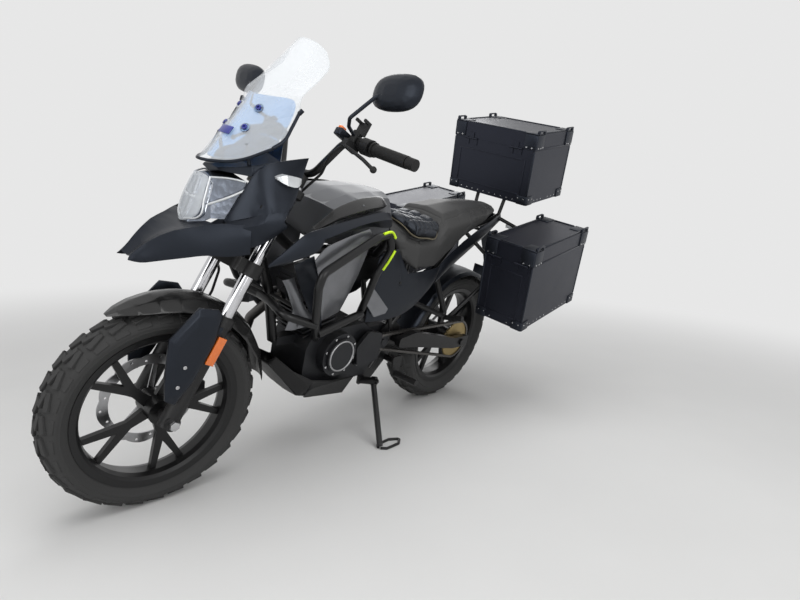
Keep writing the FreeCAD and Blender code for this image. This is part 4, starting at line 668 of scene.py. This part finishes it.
class MOTORCYCLE_OT_tyres(bpy.types.Operator):
    """Spins both tyres and sets their tread blocks round them"""

    bl_idname = "motorcycle.tyres"
    bl_label = "Tyres"

    def execute(self, context):
        self.tyre("front_tyre", "front_wheel_spin", FRONT_RADIUS - TREAD_GAP, 55, 33, 30)
        self.tyre("rear_tyre", "rear_wheel_spin", REAR_RADIUS - TREAD_GAP, 70, 45, 28)
        return {"FINISHED"}

    def tyre(self, node, joint, radius, half, seat, count):
        """Carcass and tread of one tyre, in millimetres across the wheel's own axes."""
        place = wheel_frame(joint)
        bead = BEAD_RADIUS + BEAD_GAP
        # The side wall leans out by 0.6 of its height, and the tread begins above its widest line
        widest = bead + (half - seat) / 0.6
        rise = radius - widest
        groove = radius - GROOVE
        side = [(seat, bead), (seat + (half - seat) * 0.5, bead + (widest - bead) * 0.5)]
        # A rib on the side wall, by its share of the half width and its height over the widest line
        side += [(half * share, widest + up) for share, up in ((0.96, -7), (0.995, -3), (0.975, 0), (1.0, 4))]
        # The shoulder, by shares of the half width and of the rise to the tread, then the grooves' floor
        side += [(half * share, widest + rise * up)
                 for share, up in ((0.985, 0.24), (0.9, 0.4), (0.78, 0.56))]
        side += [(half * share, groove - rise * drop)
                 for share, drop in ((0.6, 0.13), (0.4, 0.05), (0.2, 0.01))]
        profile = side + [(0, groove)] + [(-y, r) for y, r in reversed(side)]
        inner = [(y * 0.84, r - CARCASS_WALL) for y, r in reversed(profile[2:-2])]
        carcass = self.ring(node + "_carcass", profile + inner, place)
        # Each row of blocks: share of the half width, drop, width, slant in degrees and share of the pitch
        crown = ((0.21, 0.0, 0.3, -14, 0.74), (0.56, 0.13, 0.3, 16, 0.74), (0.84, 0.52, 0.26, 0, 0.6))
        blocks = []
        for share, drop, wide, slant, fill in crown:
            steep = math.atan2(drop * rise * 1.9, share * half)
            long = 2 * math.pi * radius / count * fill
            middle = Vector((0, share * half, radius - drop * rise - 6)) * MM
            tilt = (place @ Matrix.Translation(middle) @ Matrix.Rotation(-steep, 4, "X")
                    @ Matrix.Rotation(math.radians(slant), 4, "Z"))
            blocks.append(block("tread_block", tilt, (long, wide * half, BLOCK_DEPTH), (0, 0, 0), edge=1.2,
                                segments=1))
        row = joined("tread_row", blocks)
        home = place.inverted()
        turn = math.pi / count
        # The right half's blocks are the left's turned about, nearly half a pitch further on
        offset = place @ Matrix.Rotation(turn * 0.9, 4, "Y") @ home
        other = copied(row, "tread_other", offset @ (place @ Matrix.Diagonal((-1, -1, 1, 1)) @ home))
        row = joined("tread_row", [row, other])
        rows = [copied(row, "tread_copy", place @ Matrix.Rotation(2 * turn * i, 4, "Y") @ home)
                for i in range(1, count)]
        ready(joined(node + "_tread", [carcass, row] + rows), "tyre_rubber", node, sharp=40, stands_in=True)

    def ring(self, name, profile, place):
        """A closed profile of (across, radius) pairs spun round the axle."""
        clear_selection()
        bpy.ops.mesh.primitive_circle_add(vertices=len(profile), fill_type="NOTHING")
        piece = bpy.context.object
        piece.name = name
        for point, (y, r) in zip(piece.data.vertices, profile):
            point.co = place @ (Vector((0, y, r)) * MM)
        settle(piece)
        edit_all(piece)
        bpy.ops.mesh.spin(steps=RING_STEPS, angle=2 * math.pi, center=place.to_translation(),
                          axis=place.col[1].to_3d())
        bpy.ops.mesh.select_all(action="SELECT")
        bpy.ops.mesh.remove_doubles(threshold=RING_WELD)
        bpy.ops.mesh.normals_make_consistent(inside=False)
        clear_selection()
        return piece


class MOTORCYCLE_OT_seat(bpy.types.Operator):
    """Pads the vinyl seat and the quilted cushion over it"""

    bl_idname = "motorcycle.seat"
    bl_label = "Seat"

    def execute(self, context):
        seat = self.padded("seat", "seat_vinyl_cover", 5.0, 2.0, 5.0)
        # The seam along each edge, by its distance from the middle, and one across that leans with its height
        seam = ((592, 50), (540, 86), (470, 112), (400, 116), (340, 108), (250, 104), (180, 96), (60, 82),
                (0, 74), (-128, 44))
        self.press(seat, lambda at, out: groove(abs(at.y) - follow(seam, at.x), 2.2, 2.6) * (out.z > 0.15))
        self.press(seat, lambda at, out: groove(at.x - 326 - 0.2 * at.z + 170, 2.0, 2.8)
                   * (at.z > 790) * (abs(at.y) < 118))
        ready(seat, "seat_vinyl", "seat", sharp=60, stands_in=True)
        pad = self.padded("seat_pad", "quilted_pad", 4.0, 3.0, 1.0)
        self.press(pad, self.quilt)
        ready(pad, "quilt_fabric", "seat_pad", sharp=70, stands_in=True)
        edge = ((352, 60, 851), (362, 98, 838), (400, 137, 806), (450, 136, 806), (500, 118, 809),
                (545, 74, 846), (561, 40, 858))
        loop = bike_line(edge) + bike_line(edge[::-1], -1)
        ready(pipe("pad_binding", loop, 2.6, closed=True), "pad_binding", "seat_pad")
        return {"FINISHED"}

    def padded(self, node, name, voxel, shrink, cap):
        """A soft body over a CAD solid: remeshed, a little smaller, then blown up as cloth."""
        piece = node_copy(node, name)
        remesh = piece.modifiers.new("remesh", "REMESH")
        remesh.mode = "VOXEL"
        remesh.voxel_size = voxel * MM
        apply_modifiers(piece)
        soften = piece.modifiers.new("soften", "SMOOTH")
        soften.iterations = 8
        apply_modifiers(piece)
        choose_faces(piece, lambda centre, normal: True)
        bpy.ops.transform.shrink_fatten(value=-shrink * MM)
        clear_selection()
        before = [point.co.copy() for point in piece.data.vertices]
        cloth = piece.modifiers.new("cloth", "CLOTH")
        cloth.settings.use_pressure = True
        cloth.settings.uniform_pressure_force = CLOTH_PRESSURE
        cloth.settings.effector_weights.gravity = 0
        for step in range(1, CLOTH_FRAMES + 1):
            bpy.context.scene.frame_set(step)
        apply_modifiers(piece)
        bpy.context.scene.frame_set(1)
        limit = (shrink + cap) * MM
        for point, old in zip(piece.data.vertices, before):
            moved = point.co - old
            if moved.length > limit:
                point.co = old + moved.normalized() * limit
        finer = piece.modifiers.new("finer", "SUBSURF")
        finer.levels = finer.render_levels = 1
        apply_modifiers(piece)
        return piece

    def press(self, piece, depth):
        """Sinks each point along its normal by a depth in millimetres, from its place on the machine."""
        back = MACHINE.inverted()
        turned = back.to_3x3()
        moved = []
        for point in piece.data.vertices:
            at = back @ point.co * 1000
            moved.append(point.co - point.normal * depth(at, turned @ point.normal) * MM)
        for point, place in zip(piece.data.vertices, moved):
            point.co = place

    def quilt(self, at, out):
        """How far the quilted cushion is below its pillows' tops."""
        if out.z < -0.2:
            return 0.0
        across = abs(at.y)
        on_top = across < FLANK
        along = (at.x - QUILT_START) / (TOP_ROW if on_top else FLANK_ROW)
        rows = abs((along % 1) - 0.5) * 2
        columns = abs(((at.y / QUILT_COLUMN) + 0.5) % 1 - 0.5) * 2 if on_top else abs(across - 104) / 20
        pillow = (1 - min(rows, 1) ** 5) * (1 - min(columns, 1) ** 5)
        return (10.0 if on_top else 6.0) * (1 - pillow) - 6.0


def groove(off, depth, width):
    """Depth of a rounded groove at a distance off its middle line."""
    return depth * math.exp(-(off / width) ** 2)


def follow(stations, x):
    """The value at x along a list of (x, value) pairs with x falling."""
    if x >= stations[0][0]:
        return stations[0][1]
    for (x0, v0), (x1, v1) in zip(stations, stations[1:]):
        if x >= x1:
            return v0 + (v1 - v0) * (x0 - x) / (x0 - x1)
    return stations[-1][1]


# Each case: nodes of its tub and lid, its size, then its front, inner side and bottom, in millimetres
CASES = (
    ("top_case", "top_lid", (320, 403, 293), (-108.4, -201.5, 962.2)),
    ("left_case", "left_lid", (454, 215, 335), (99.5, 216.9, 504.7)),
    ("right_case", "right_lid", (454, 215, 335), (99.5, -431.9, 504.7)),
)
CASE_PITCH = math.radians(11)
LID_HEIGHT = 66
RIVET_PITCH = 30


class MOTORCYCLE_OT_case_trim(bpy.types.Operator):
    """Fits corner caps, rivets, tie-down loops, edge rails and latches to the three cases"""

    bl_idname = "motorcycle.case_trim"
    bl_label = "Case trim"

    def execute(self, context):
        for tub, lid, (length, width, height), (front, inner, bottom) in CASES:
            foot = (front - length * math.cos(CASE_PITCH), inner, bottom + length * math.sin(CASE_PITCH))
            place = MACHINE @ Matrix.Translation(Vector(foot) * MM) @ Matrix.Rotation(CASE_PITCH, 4, "Y")
            self.lid_trim(lid, place, length, width, height)
            self.tub_trim(tub, lid, place, length, width, height - LID_HEIGHT)
        return {"FINISHED"}

    def blocks(self, place, rows):
        """One block for each row of name, sizes, middle, edge and segments."""
        return [block(name, place, sizes, middle, edge=edge, segments=segments)
                for name, sizes, middle, edge, segments in rows]

    def corners(self, cap, place, length, width):
        """Four mirrored copies of a cap made at the corner where x and y are greatest."""
        middle = place @ Matrix.Translation(Vector((length / 2, width / 2, 0)) * MM)
        result = [cap]
        for x, y in ((-1, 1), (1, -1), (-1, -1)):
            move = middle @ Matrix.Diagonal((x, y, 1, 1)) @ middle.inverted()
            result.append(copied(cap, "cap_copy", move))
        return result

    def lid_trim(self, lid, place, length, width, height):
        """Caps with tie-down loops on the lid's corners, rails between them, and the hem at its seam."""
        seam = height - LID_HEIGHT
        low = seam + 3
        level = (low + height) / 2
        wall = LID_HEIGHT - 8
        cap = joined("cap", self.blocks(place, (
            ("cap_side", (62, 7, wall), (length - 31, width + 1, level), 2.2, 2),
            ("cap_end", (7, 54, wall), (length + 1, width - 26, level), 2.2, 2),
            ("cap_round", (15, 15, LID_HEIGHT - 10), (length - 4, width - 4, level), 5.5, 3),
            ("cap_top", (66, 58, 5), (length - 31, width - 27, height + 0.5), 2, 2),
            ("loop_post", (13, 11, 16), (length - 57, width - 1, height + 6), 3, 2),
            ("loop_post", (13, 11, 16), (length - 12, width - 1, height + 6), 3, 2),
            ("loop_bar", (52, 9, 6), (length - 34, width + 1, height + 13), 2.6, 2))))
        ready(joined(lid + "_caps", self.corners(cap, place, length, width)), "case_cap", lid, sharp=40)
        face = 4.4
        heads = [screw("cap_screw", place @ (Vector(at) * MM), toward(place, *out), 3.4, 2.2)
                 for at, out in (((length - 14, width + face, low + 8), (0, 1, 0)),
                                 ((length - 34, width + face, low + 8), (0, 1, 0)),
                                 ((length - 50, width + face, low + 10), (0, 1, 0)),
                                 ((length + face, width - 14, low + 8), (1, 0, 0)),
                                 ((length + face, width - 40, low + 8), (1, 0, 0)))]
        whole = joined(lid + "_screws", self.corners(joined("heads", heads), place, length, width))
        ready(whole, "bright_steel", lid, sharp=40)
        rails = [("lid_rail", (length - 130, 9, 6), (length / 2, y, height + 0.8), 2.4, 2)
                 for y in (8, width - 8)]
        rails += [("lid_rail", (9, width - 120, 6), (x, width / 2, height + 0.8), 2.4, 2)
                  for x in (8, length - 8)]
        ready(joined(lid + "_rails", self.blocks(place, rails)), "case_cap", lid, sharp=40)
        hem = [("lid_hem", (length + 3, 2.4, 8), (length / 2, y, seam + 4.6), 0.8, 2)
               for y in (-0.6, width + 0.6)]
        hem.append(("lid_hem", (2.4, width + 3, 8), (-0.6, width / 2, seam + 4.6), 0.8, 2))
        ready(joined(lid + "_hem", self.blocks(place, hem)), "case_coat", lid, sharp=40)

    def tub_trim(self, tub, lid, place, length, width, seam):
        """Foot caps, corner strips, rivets, a ridge on the front, and latches at the back of the seam."""
        cap = joined("foot_cap", self.blocks(place, (
            ("foot_side", (50, 6, 38), (length - 25, width + 1, 17), 2.2, 2),
            ("foot_end", (6, 46, 38), (length + 1, width - 23, 17), 2.2, 2),
            ("foot_base", (52, 48, 5), (length - 25, width - 23, 0.2), 2, 2),
            ("foot_round", (13, 13, 38), (length - 3.5, width - 3.5, 17), 5, 3),
            ("corner_strip", (9, 9, seam - 40), (length - 2.6, width - 2.6, seam / 2 + 17), 3.5, 3))))
        ready(joined(tub + "_caps", self.corners(cap, place, length, width)), "case_cap", tub, sharp=40)
        side = screw("rivet", place @ (Vector((length - 12, width + 4, 24)) * MM), toward(place, 0, 1, 0),
                     3, 1.6, 10)
        end = screw("rivet", place @ (Vector((length + 4, width - 12, 24)) * MM), toward(place, 1, 0, 0),
                    3, 1.6, 10)
        rivets = [side, end]
        moves = [(side, (-26, 0, 0)), (end, (0, -26, 0))]
        moves += [(side, (-26 - RIVET_PITCH * step, -4.2, -12))
                  for step in range(1, 1 + int((length / 2 - 60) / RIVET_PITCH))]
        moves += [(end, (-4.2, -24 - RIVET_PITCH * step, -12))
                  for step in range(1, 1 + int((width / 2 - 50) / RIVET_PITCH))]
        for rivet, move in moves:
            rivets.append(copied(rivet, "rivet", Matrix.Translation(toward(place, *move) * MM)))
        whole = joined(tub + "_rivets", self.corners(joined("rivets", rivets), place, length, width))
        ready(whole, "bright_steel", tub, sharp=40)
        low, high = 38, seam - 44
        ridge = [("front_ridge", (3, width - 72, 5), (length + 0.4, width / 2, z), 1.1, 2)
                 for z in (low, high)]
        ridge += [("front_ridge", (3, 5, high - low), (length + 0.4, y, (low + high) / 2), 1.1, 2)
                  for y in (37, width - 37)]
        ready(joined(tub + "_ridge", self.blocks(place, ridge)), "case_coat", tub, sharp=40)
        plates, hooks = [], []
        for y in (width * 0.25, width * 0.75):
            plates += self.blocks(place, (("latch_plate", (5, 34, 46), (-2.4, y, seam - 28), 1.6, 2),
                                          ("latch_lever", (7, 26, 52), (-7, y, seam - 22), 2.6, 2)))
            hooks.append(block("latch_hook", place, (6, 30, 14), (-3, y, seam + 16), edge=2))
        ready(joined(tub + "_latches", plates), "steel", tub, sharp=40)
        ready(joined(lid + "_hooks", hooks), "steel", lid, sharp=40)


class MOTORCYCLE_OT_screen(bpy.types.Operator):
    """Fits the windscreen's inner panel, edge strips, slot and screws"""

    bl_idname = "motorcycle.screen"
    bl_label = "Windscreen"

    def execute(self, context):
        rows = (((1296, 0, 990), (1236, 64, 1002), (1176, 114, 1046)),
                ((1264, 0, 1030), (1208, 68, 1044), (1150, 119, 1070)),
                ((1219, 0, 1090), (1169, 66, 1104), (1117, 116, 1134)),
                ((1160, 0, 1172), (1126, 62, 1176), (1106, 108, 1180)))
        ready(sheet("screen_inner", rows), "tinted_screen", "windshield", sharp=60)
        strips, knobs, rings = [], [], []
        for side in (1, -1):
            edge = bike_line(((1178, 123, 1048), (1150, 129, 1072), (1132, 128, 1105), (1114, 126, 1142)),
                             side)
            strips.append(pipe("screen_strip", edge, 4.5))
            tip = edge[-1] + toward(MACHINE, -6, 6 * side, 12) * MM
            strips.append(round_bar("strip_knob", edge[-1], tip, 6, edge=1.5))
            for x, z in ((1172, 1132), (1205, 1077)):
                out = toward(MACHINE, *Vector((0.74, 0.33 * side, 0.58)).normalized())
                foot = on_surface("windshield", bike(x, 40 * side, z) + out * 100 * MM, -out)
                knobs.append(screw("screen_screw", foot, out, 7.5, 6, 18))
                rings.append(round_bar("screen_ring", foot - out * 2 * MM, foot + out * 2.2 * MM, 12.5, 24,
                                       edge=0.8))
        base = ((1178, 123, 1046), (1242, 67, 1000), (1290, 28, 989), (1304, 0, 988))
        strips.append(pipe("screen_foot", bike_line(base) + bike_line(base[-2::-1], -1), 4.0))
        ready(joined("screen_strips", strips), "satin_black", "dashboard")
        ready(joined("screen_screws", knobs), "deep_blue", "windshield")
        ready(joined("screen_rings", rings), "lens_clear", "windshield")
        front = on_surface("windshield", bike(1340, 8, 1068), toward(MACHINE, -1, 0, 0))
        vent = axes_at(front, MACHINE.col[1].to_3d(), toward(MACHINE, -0.58, 0, 0.81))
        ready(block("screen_slot", vent, (4, 46, 24), (1, 0, 0), edge=1.8), "deep_blue", "windshield")
        return {"FINISHED"}


class MOTORCYCLE_OT_lamps(bpy.types.Operator):
    """Gives the headlamp its chambers, edges and clear lens"""

    bl_idname = "motorcycle.lamps"
    bl_label = "Lamps"

    def execute(self, context):
        # Corners of each chamber, and how deep it is sunk
        trays = ((((1302, 7, 944), (1296, 31, 942), (1307, 37, 902), (1315, 7, 900)), 9),
                 (((1318, 7, 888), (1311, 39, 890), (1319, 42, 852), (1331, 7, 846)), 11),
                 (((1291, 36, 944), (1284, 44, 936), (1302, 50, 860), (1308, 46, 890)), 5))
        # Route and radius of each bar and edge
        runs = ((((1309, 39, 895), (1318, 6, 893)), 3.4),
                (((1288, 38, 949), (1250, 62, 953), (1216, 84, 951)), 2.6),
                (((1298, 51, 882), (1256, 72, 906), (1216, 88, 932)), 3.2),
                (((1289, 35, 950), (1307, 47, 892), (1316, 50, 852), (1335, 12, 835)), 2.6))
        chambers, bars = [], []
        for side in (1, -1):
            chambers += [self.chamber(bike_line(corners, side), depth) for corners, depth in trays]
            bars += [pipe("lamp_bar", bike_line(run, side), radius) for run, radius in runs]
        ready(joined("lamp_chambers", chambers), "lamp_mirror", "headlight", sharp=20)
        ready(joined("lamp_bars", bars), "lens_bright", "headlight")
        lens = sheet("lamp_lens", (
            ((1341, 0, 829), (1339, 8, 829), (1335, 15, 831)),
            ((1339, 0, 850), (1332, 28, 850), (1318, 53, 852)),
            ((1328, 0, 886), (1322, 28, 887), (1311, 49, 890)),
            ((1316, 0, 924), (1311, 24, 924), (1302, 42, 925)),
            ((1303, 0, 957), (1299, 22, 955), (1291, 38, 951))), 2.0)
        ready(lens, "clear_screen", "headlight", sharp=60)
        return {"FINISHED"}

    def chamber(self, corners, depth):
        """A tray sunk behind four corners, with a raised bar of facets on its floor."""
        clear_selection()
        bpy.ops.mesh.primitive_plane_add(size=1)
        piece = bpy.context.object
        for point, place in zip(piece.data.vertices, (corners[0], corners[1], corners[3], corners[2])):
            point.co = place
        settle(piece)
        back = toward(MACHINE, -0.9, 0, -0.3) * depth * MM
        choose_faces(piece, lambda centre, normal: True)
        bpy.ops.mesh.inset(thickness=2 * MM)
        bpy.ops.mesh.extrude_region_move(TRANSFORM_OT_translate={"value": back})
        bpy.ops.transform.resize(value=(0.8, 0.8, 0.8))
        bpy.ops.mesh.subdivide(number_cuts=2)
        bpy.ops.mesh.inset(thickness=1.2 * MM, use_individual=True)
        bpy.ops.mesh.extrude_region_move(TRANSFORM_OT_translate={"value": -back * 0.3})
        clear_selection()
        wall = piece.modifiers.new("wall", "SOLIDIFY")
        wall.thickness = 1.2 * MM
        apply_modifiers(piece)
        return piece


# Where the two screws of each fork guard are, forward of and up from the axle
GUARD_SCREWS = ((65, 160), (56, 105))
# Middles of the round covers on the engine's left and right, forward and up
LEFT_COVER = (776, 392)
RIGHT_COVER = (760, 388)


class MOTORCYCLE_OT_fittings(bpy.types.Operator):
    """Adds screws, reflectors, nuts, button, boots, bright strips, the rear lens and the dash glass"""

    bl_idname = "motorcycle.fittings"
    bl_label = "Fittings"

    def execute(self, context):
        self.fork_fittings()
        self.bar_fittings()
        self.engine_fittings()
        self.lenses()
        return {"FINISHED"}

    def fork_fittings(self):
        """Reflectors and screws on the fork guards, and the axle's nuts."""
        reflectors, heads = [], []
        for side in (1, -1):
            out = toward(FORK, 0, side, 0)
            reflectors.append(block("reflector", FORK, (26, 7, 82), (-2, 129 * side, 223), edge=1.6))
            for x, z in GUARD_SCREWS:
                foot = on_surface("fork_guards", fork(x, 240 * side, z), -out)
                heads.append(screw("guard_screw", foot, out, 5.5, 3.5))
            heads.append(round_bar("axle_nut", fork(0, 112 * side, 0), fork(0, 134 * side, 0), 14, 6,
                                   edge=1.4))
        ready(joined("fork_reflectors", reflectors), "amber_lens", "fork_guards")
        ready(joined("fork_screws", heads), "bright_steel", "fork_guards")

    def bar_fittings(self):
        """The start button on its box, and the mirrors' rubber boots."""
        ready(block("switch_box", FORK, (46, 28, 22), (-12, 154, 906), edge=4, segments=3), "case_cap",
              "bar_controls")
        ready(block("switch_button", FORK, (20, 16, 10), (0, 154, 919), edge=3.5, segments=3), "amber_lens",
              "bar_controls")
        boots = [round_bar("mirror_boot", fork(-12, y, 884), fork(-12, y, 924), 9.5, edge=2.5)
                 for y in (203, -203)]
        ready(joined("mirror_boots", boots), "soft_rubber", "mirrors")

    def engine_fittings(self):
        """Screws round the engine's covers, a ring on the left one, and the crash bar's bright strips."""
        left = toward(MACHINE, 0, 1, 0)
        heads = []
        for i in range(8):
            angle = 2 * math.pi * i / 8 + 0.3
            place = self.on_circle(LEFT_COVER, 120, 70, angle)
            heads.append(screw("cover_screw", place, left, 4.5, 4))
            place = self.on_circle(RIGHT_COVER, -120, 72, angle + 0.2)
            heads.append(screw("clutch_screw", place, -left, 4.5, 4))
        for x, z in ((592, 440), (668, 330), (570, 340), (640, 442)):
            heads.append(screw("sprocket_screw", bike(x, 109, z), left, 4.5, 4))
        ready(joined("engine_screws", heads), "bright_steel", "engine")
        ring = [self.on_circle(LEFT_COVER, 130, 54, 2 * math.pi * i / 24) for i in range(24)]
        ready(pipe("cover_ring", ring, 3.2, closed=True), "bright_cast", "engine")
        strips = [pipe("bright_strip", bike_line(run), 4.2) for run in (
            ((790, 216, 848), (752, 207, 851), (728, 201, 846), (714, 203, 830)),
            ((704, 204, 788), (716, 200, 757), (732, 193, 720)))]
        ready(joined("bright_strips", strips), "bright_strap", "crash_bars")

    def on_circle(self, middle, y, radius, angle):
        """A point on an upright circle beside the engine."""
        return bike(middle[0] + radius * math.cos(angle), y, middle[1] + radius * math.sin(angle))

    def lenses(self):
        """The rear lamp's lens and the glass over the dials."""
        ready(block("rear_lens", MACHINE, (8, 72, 18), (-197, 0, 871), edge=3, segments=3), "red_lens",
              "tail_fairing")
        ready(block("dash_glass", MACHINE, (6, 118, 44), (1109.5, 0, 1034), edge=2.4, segments=3),
              "gloss_black", "dashboard")


# Brightness of the plain background, and of the floor far from the machine
BACKGROUND = 0.8


class MOTORCYCLE_OT_stage(bpy.types.Operator):
    """Lays the floor and sets the lamps and the camera"""

    bl_idname = "motorcycle.stage"
    bl_label = "Stage"

    def execute(self, context):
        sizes = context.scene.stage_sizes
        clear_selection()
        bpy.ops.mesh.primitive_plane_add(size=60)
        floor = bpy.context.object
        floor.name = "floor"
        material = bpy.data.materials.new("floor_paper")
        material.use_nodes = True
        tree = material.node_tree
        shader = tree.nodes["Principled BSDF"]
        place = wire(tree, "ShaderNodeTexCoord").outputs["Object"]
        mottle = wire(tree, "ShaderNodeTexNoise", {"Vector": place, "Scale": 3.0}).outputs["Fac"]
        tone = spread(tree, mottle, 0.0, 1.0, 0.97, 1.03)
        color = wire(tree, "ShaderNodeVectorMath", {0: tuple(sizes.floor_color), "Scale": tone},
                     operation="SCALE")
        tree.links.new(color.outputs[0], shader.inputs["Base Color"])
        shader.inputs["Roughness"].default_value = 0.9
        self.fade_floor(tree, shader, place)
        floor.data.materials.append(material)
        self.light_world(sizes)
        self.set_lamps(sizes)
        self.set_camera(sizes)
        bpy.context.scene.view_settings.view_transform = "Standard"
        return {"FINISHED"}

    def fade_floor(self, tree, shader, place):
        """Turns the far floor into the background's own plain tone, by its distance from the machine."""
        far = wire(tree, "ShaderNodeVectorMath", {0: place}, operation="LENGTH").outputs["Value"]
        share = spread(tree, far, 1.3, 4.5, interpolation_type="SMOOTHSTEP")
        factor = maths(tree, "MULTIPLY", seen_rays(tree), share)
        plain = wire(tree, "ShaderNodeEmission", {"Color": (BACKGROUND, BACKGROUND, BACKGROUND, 1)})
        mixed = wire(tree, "ShaderNodeMixShader", {0: factor, 1: shader.outputs[0], 2: plain.outputs[0]})
        tree.links.new(mixed.outputs[0], tree.nodes["Material Output"].inputs["Surface"])

    def light_world(self, sizes):
        """An even sky whose look to the camera and in reflections is plain pale grey."""
        world = bpy.data.worlds.new("studio")
        bpy.context.scene.world = world
        world.use_nodes = True
        tree = world.node_tree
        back = tree.nodes["Background"]
        back.inputs["Color"].default_value = (1, 1, 1, 1)
        strength = spread(tree, seen_rays(tree), 0.0, 1.0, sizes.sky_light, BACKGROUND)
        tree.links.new(strength, back.inputs["Strength"])

    def set_lamps(self, sizes):
        """Large soft lamps: above, beside the camera, ahead and behind; none shows through glass."""
        # Name, place, what it is aimed at, width and power; reflections leave out the one above
        lamps = (("key", (0.6, 0.6, 3.4), (0, 0, 0.5), 3.2, sizes.key_power),
                 ("side", (1.0, 3.6, 1.6), (0, 0, 0.5), 2.4, sizes.side_power),
                 ("front", (3.6, 0.4, 1.8), (0, 0, 0.6), 2.0, sizes.side_power * 0.7),
                 ("back", (-3.0, -2.4, 2.6), (0, 0, 0.6), 2.0, sizes.side_power * 0.8))
        for name, place, target, width, power in lamps:
            lamp = bpy.data.lights.new(name, "AREA")
            lamp.shape = "SQUARE"
            lamp.size = width
            lamp.energy = power
            holder = bpy.data.objects.new(name, lamp)
            bpy.context.scene.collection.objects.link(holder)
            holder.location = place
            holder.visible_transmission = False
            holder.visible_glossy = name != "key"
            aim = Vector(target) - Vector(place)
            holder.rotation_euler = aim.to_track_quat("-Z", "Y").to_euler()

    def set_camera(self, sizes):
        """The camera at the photograph's viewing angle."""
        heading, pitch, roll = sizes.camera_heading, sizes.camera_pitch, sizes.camera_roll
        look = Vector((-math.cos(heading) * math.cos(pitch), -math.sin(heading) * math.cos(pitch),
                       -math.sin(pitch)))
        right = look.cross(Vector((0, 0, 1))).normalized()
        up = right.cross(look)
        level = Matrix.Rotation(roll, 3, -look)
        right, up = level @ right, level @ up
        lens = bpy.data.cameras.new("camera")
        lens.lens = sizes.camera_lens
        lens.sensor_width = 36
        lens.clip_start = 0.05
        camera = bpy.data.objects.new("camera", lens)
        bpy.context.scene.collection.objects.link(camera)
        turned = Matrix((right, up, -look)).transposed().to_4x4()
        camera.matrix_world = Matrix.Translation(sizes.camera_place) @ turned
        bpy.context.scene.camera = camera


class MOTORCYCLE_PT_pieces(bpy.types.Panel):
    """Lists the pieces of the motorcycle's dressing"""

    bl_label = "Motorcycle"
    bl_idname = "MOTORCYCLE_PT_pieces"
    bl_space_type = "VIEW_3D"
    bl_region_type = "UI"
    bl_category = "Motorcycle"

    def draw(self, context):
        for operator in OPERATORS:
            self.layout.operator(operator.bl_idname)
        for group in (context.scene.stage_sizes, context.scene.finish_colors):
            for name in group.bl_rna.properties.keys():
                if name not in ("rna_type", "name"):
                    self.layout.prop(group, name)


OPERATORS = (MOTORCYCLE_OT_stage, MOTORCYCLE_OT_finishes, MOTORCYCLE_OT_bodywork, MOTORCYCLE_OT_tyres,
             MOTORCYCLE_OT_seat, MOTORCYCLE_OT_case_trim, MOTORCYCLE_OT_screen, MOTORCYCLE_OT_lamps,
             MOTORCYCLE_OT_fittings)
CLASSES = (StageSizes, FinishColors, *OPERATORS, MOTORCYCLE_PT_pieces)


def register():
    """Adds the classes and the scene's own settings."""
    for item in CLASSES:
        bpy.utils.register_class(item)
    bpy.types.Scene.stage_sizes = bpy.props.PointerProperty(type=StageSizes)
    bpy.types.Scene.finish_colors = bpy.props.PointerProperty(type=FinishColors)


def unregister():
    """Takes the classes and the settings away again."""
    del bpy.types.Scene.finish_colors
    del bpy.types.Scene.stage_sizes
    for item in reversed(CLASSES):
        bpy.utils.unregister_class(item)


def main():
    """Runs the operators in order."""
    register()
    for operator in OPERATORS:
        clear_selection()
        group, name = operator.bl_idname.split(".")
        getattr(getattr(bpy.ops, group), name)()


if __name__ == "__main__":
    main()
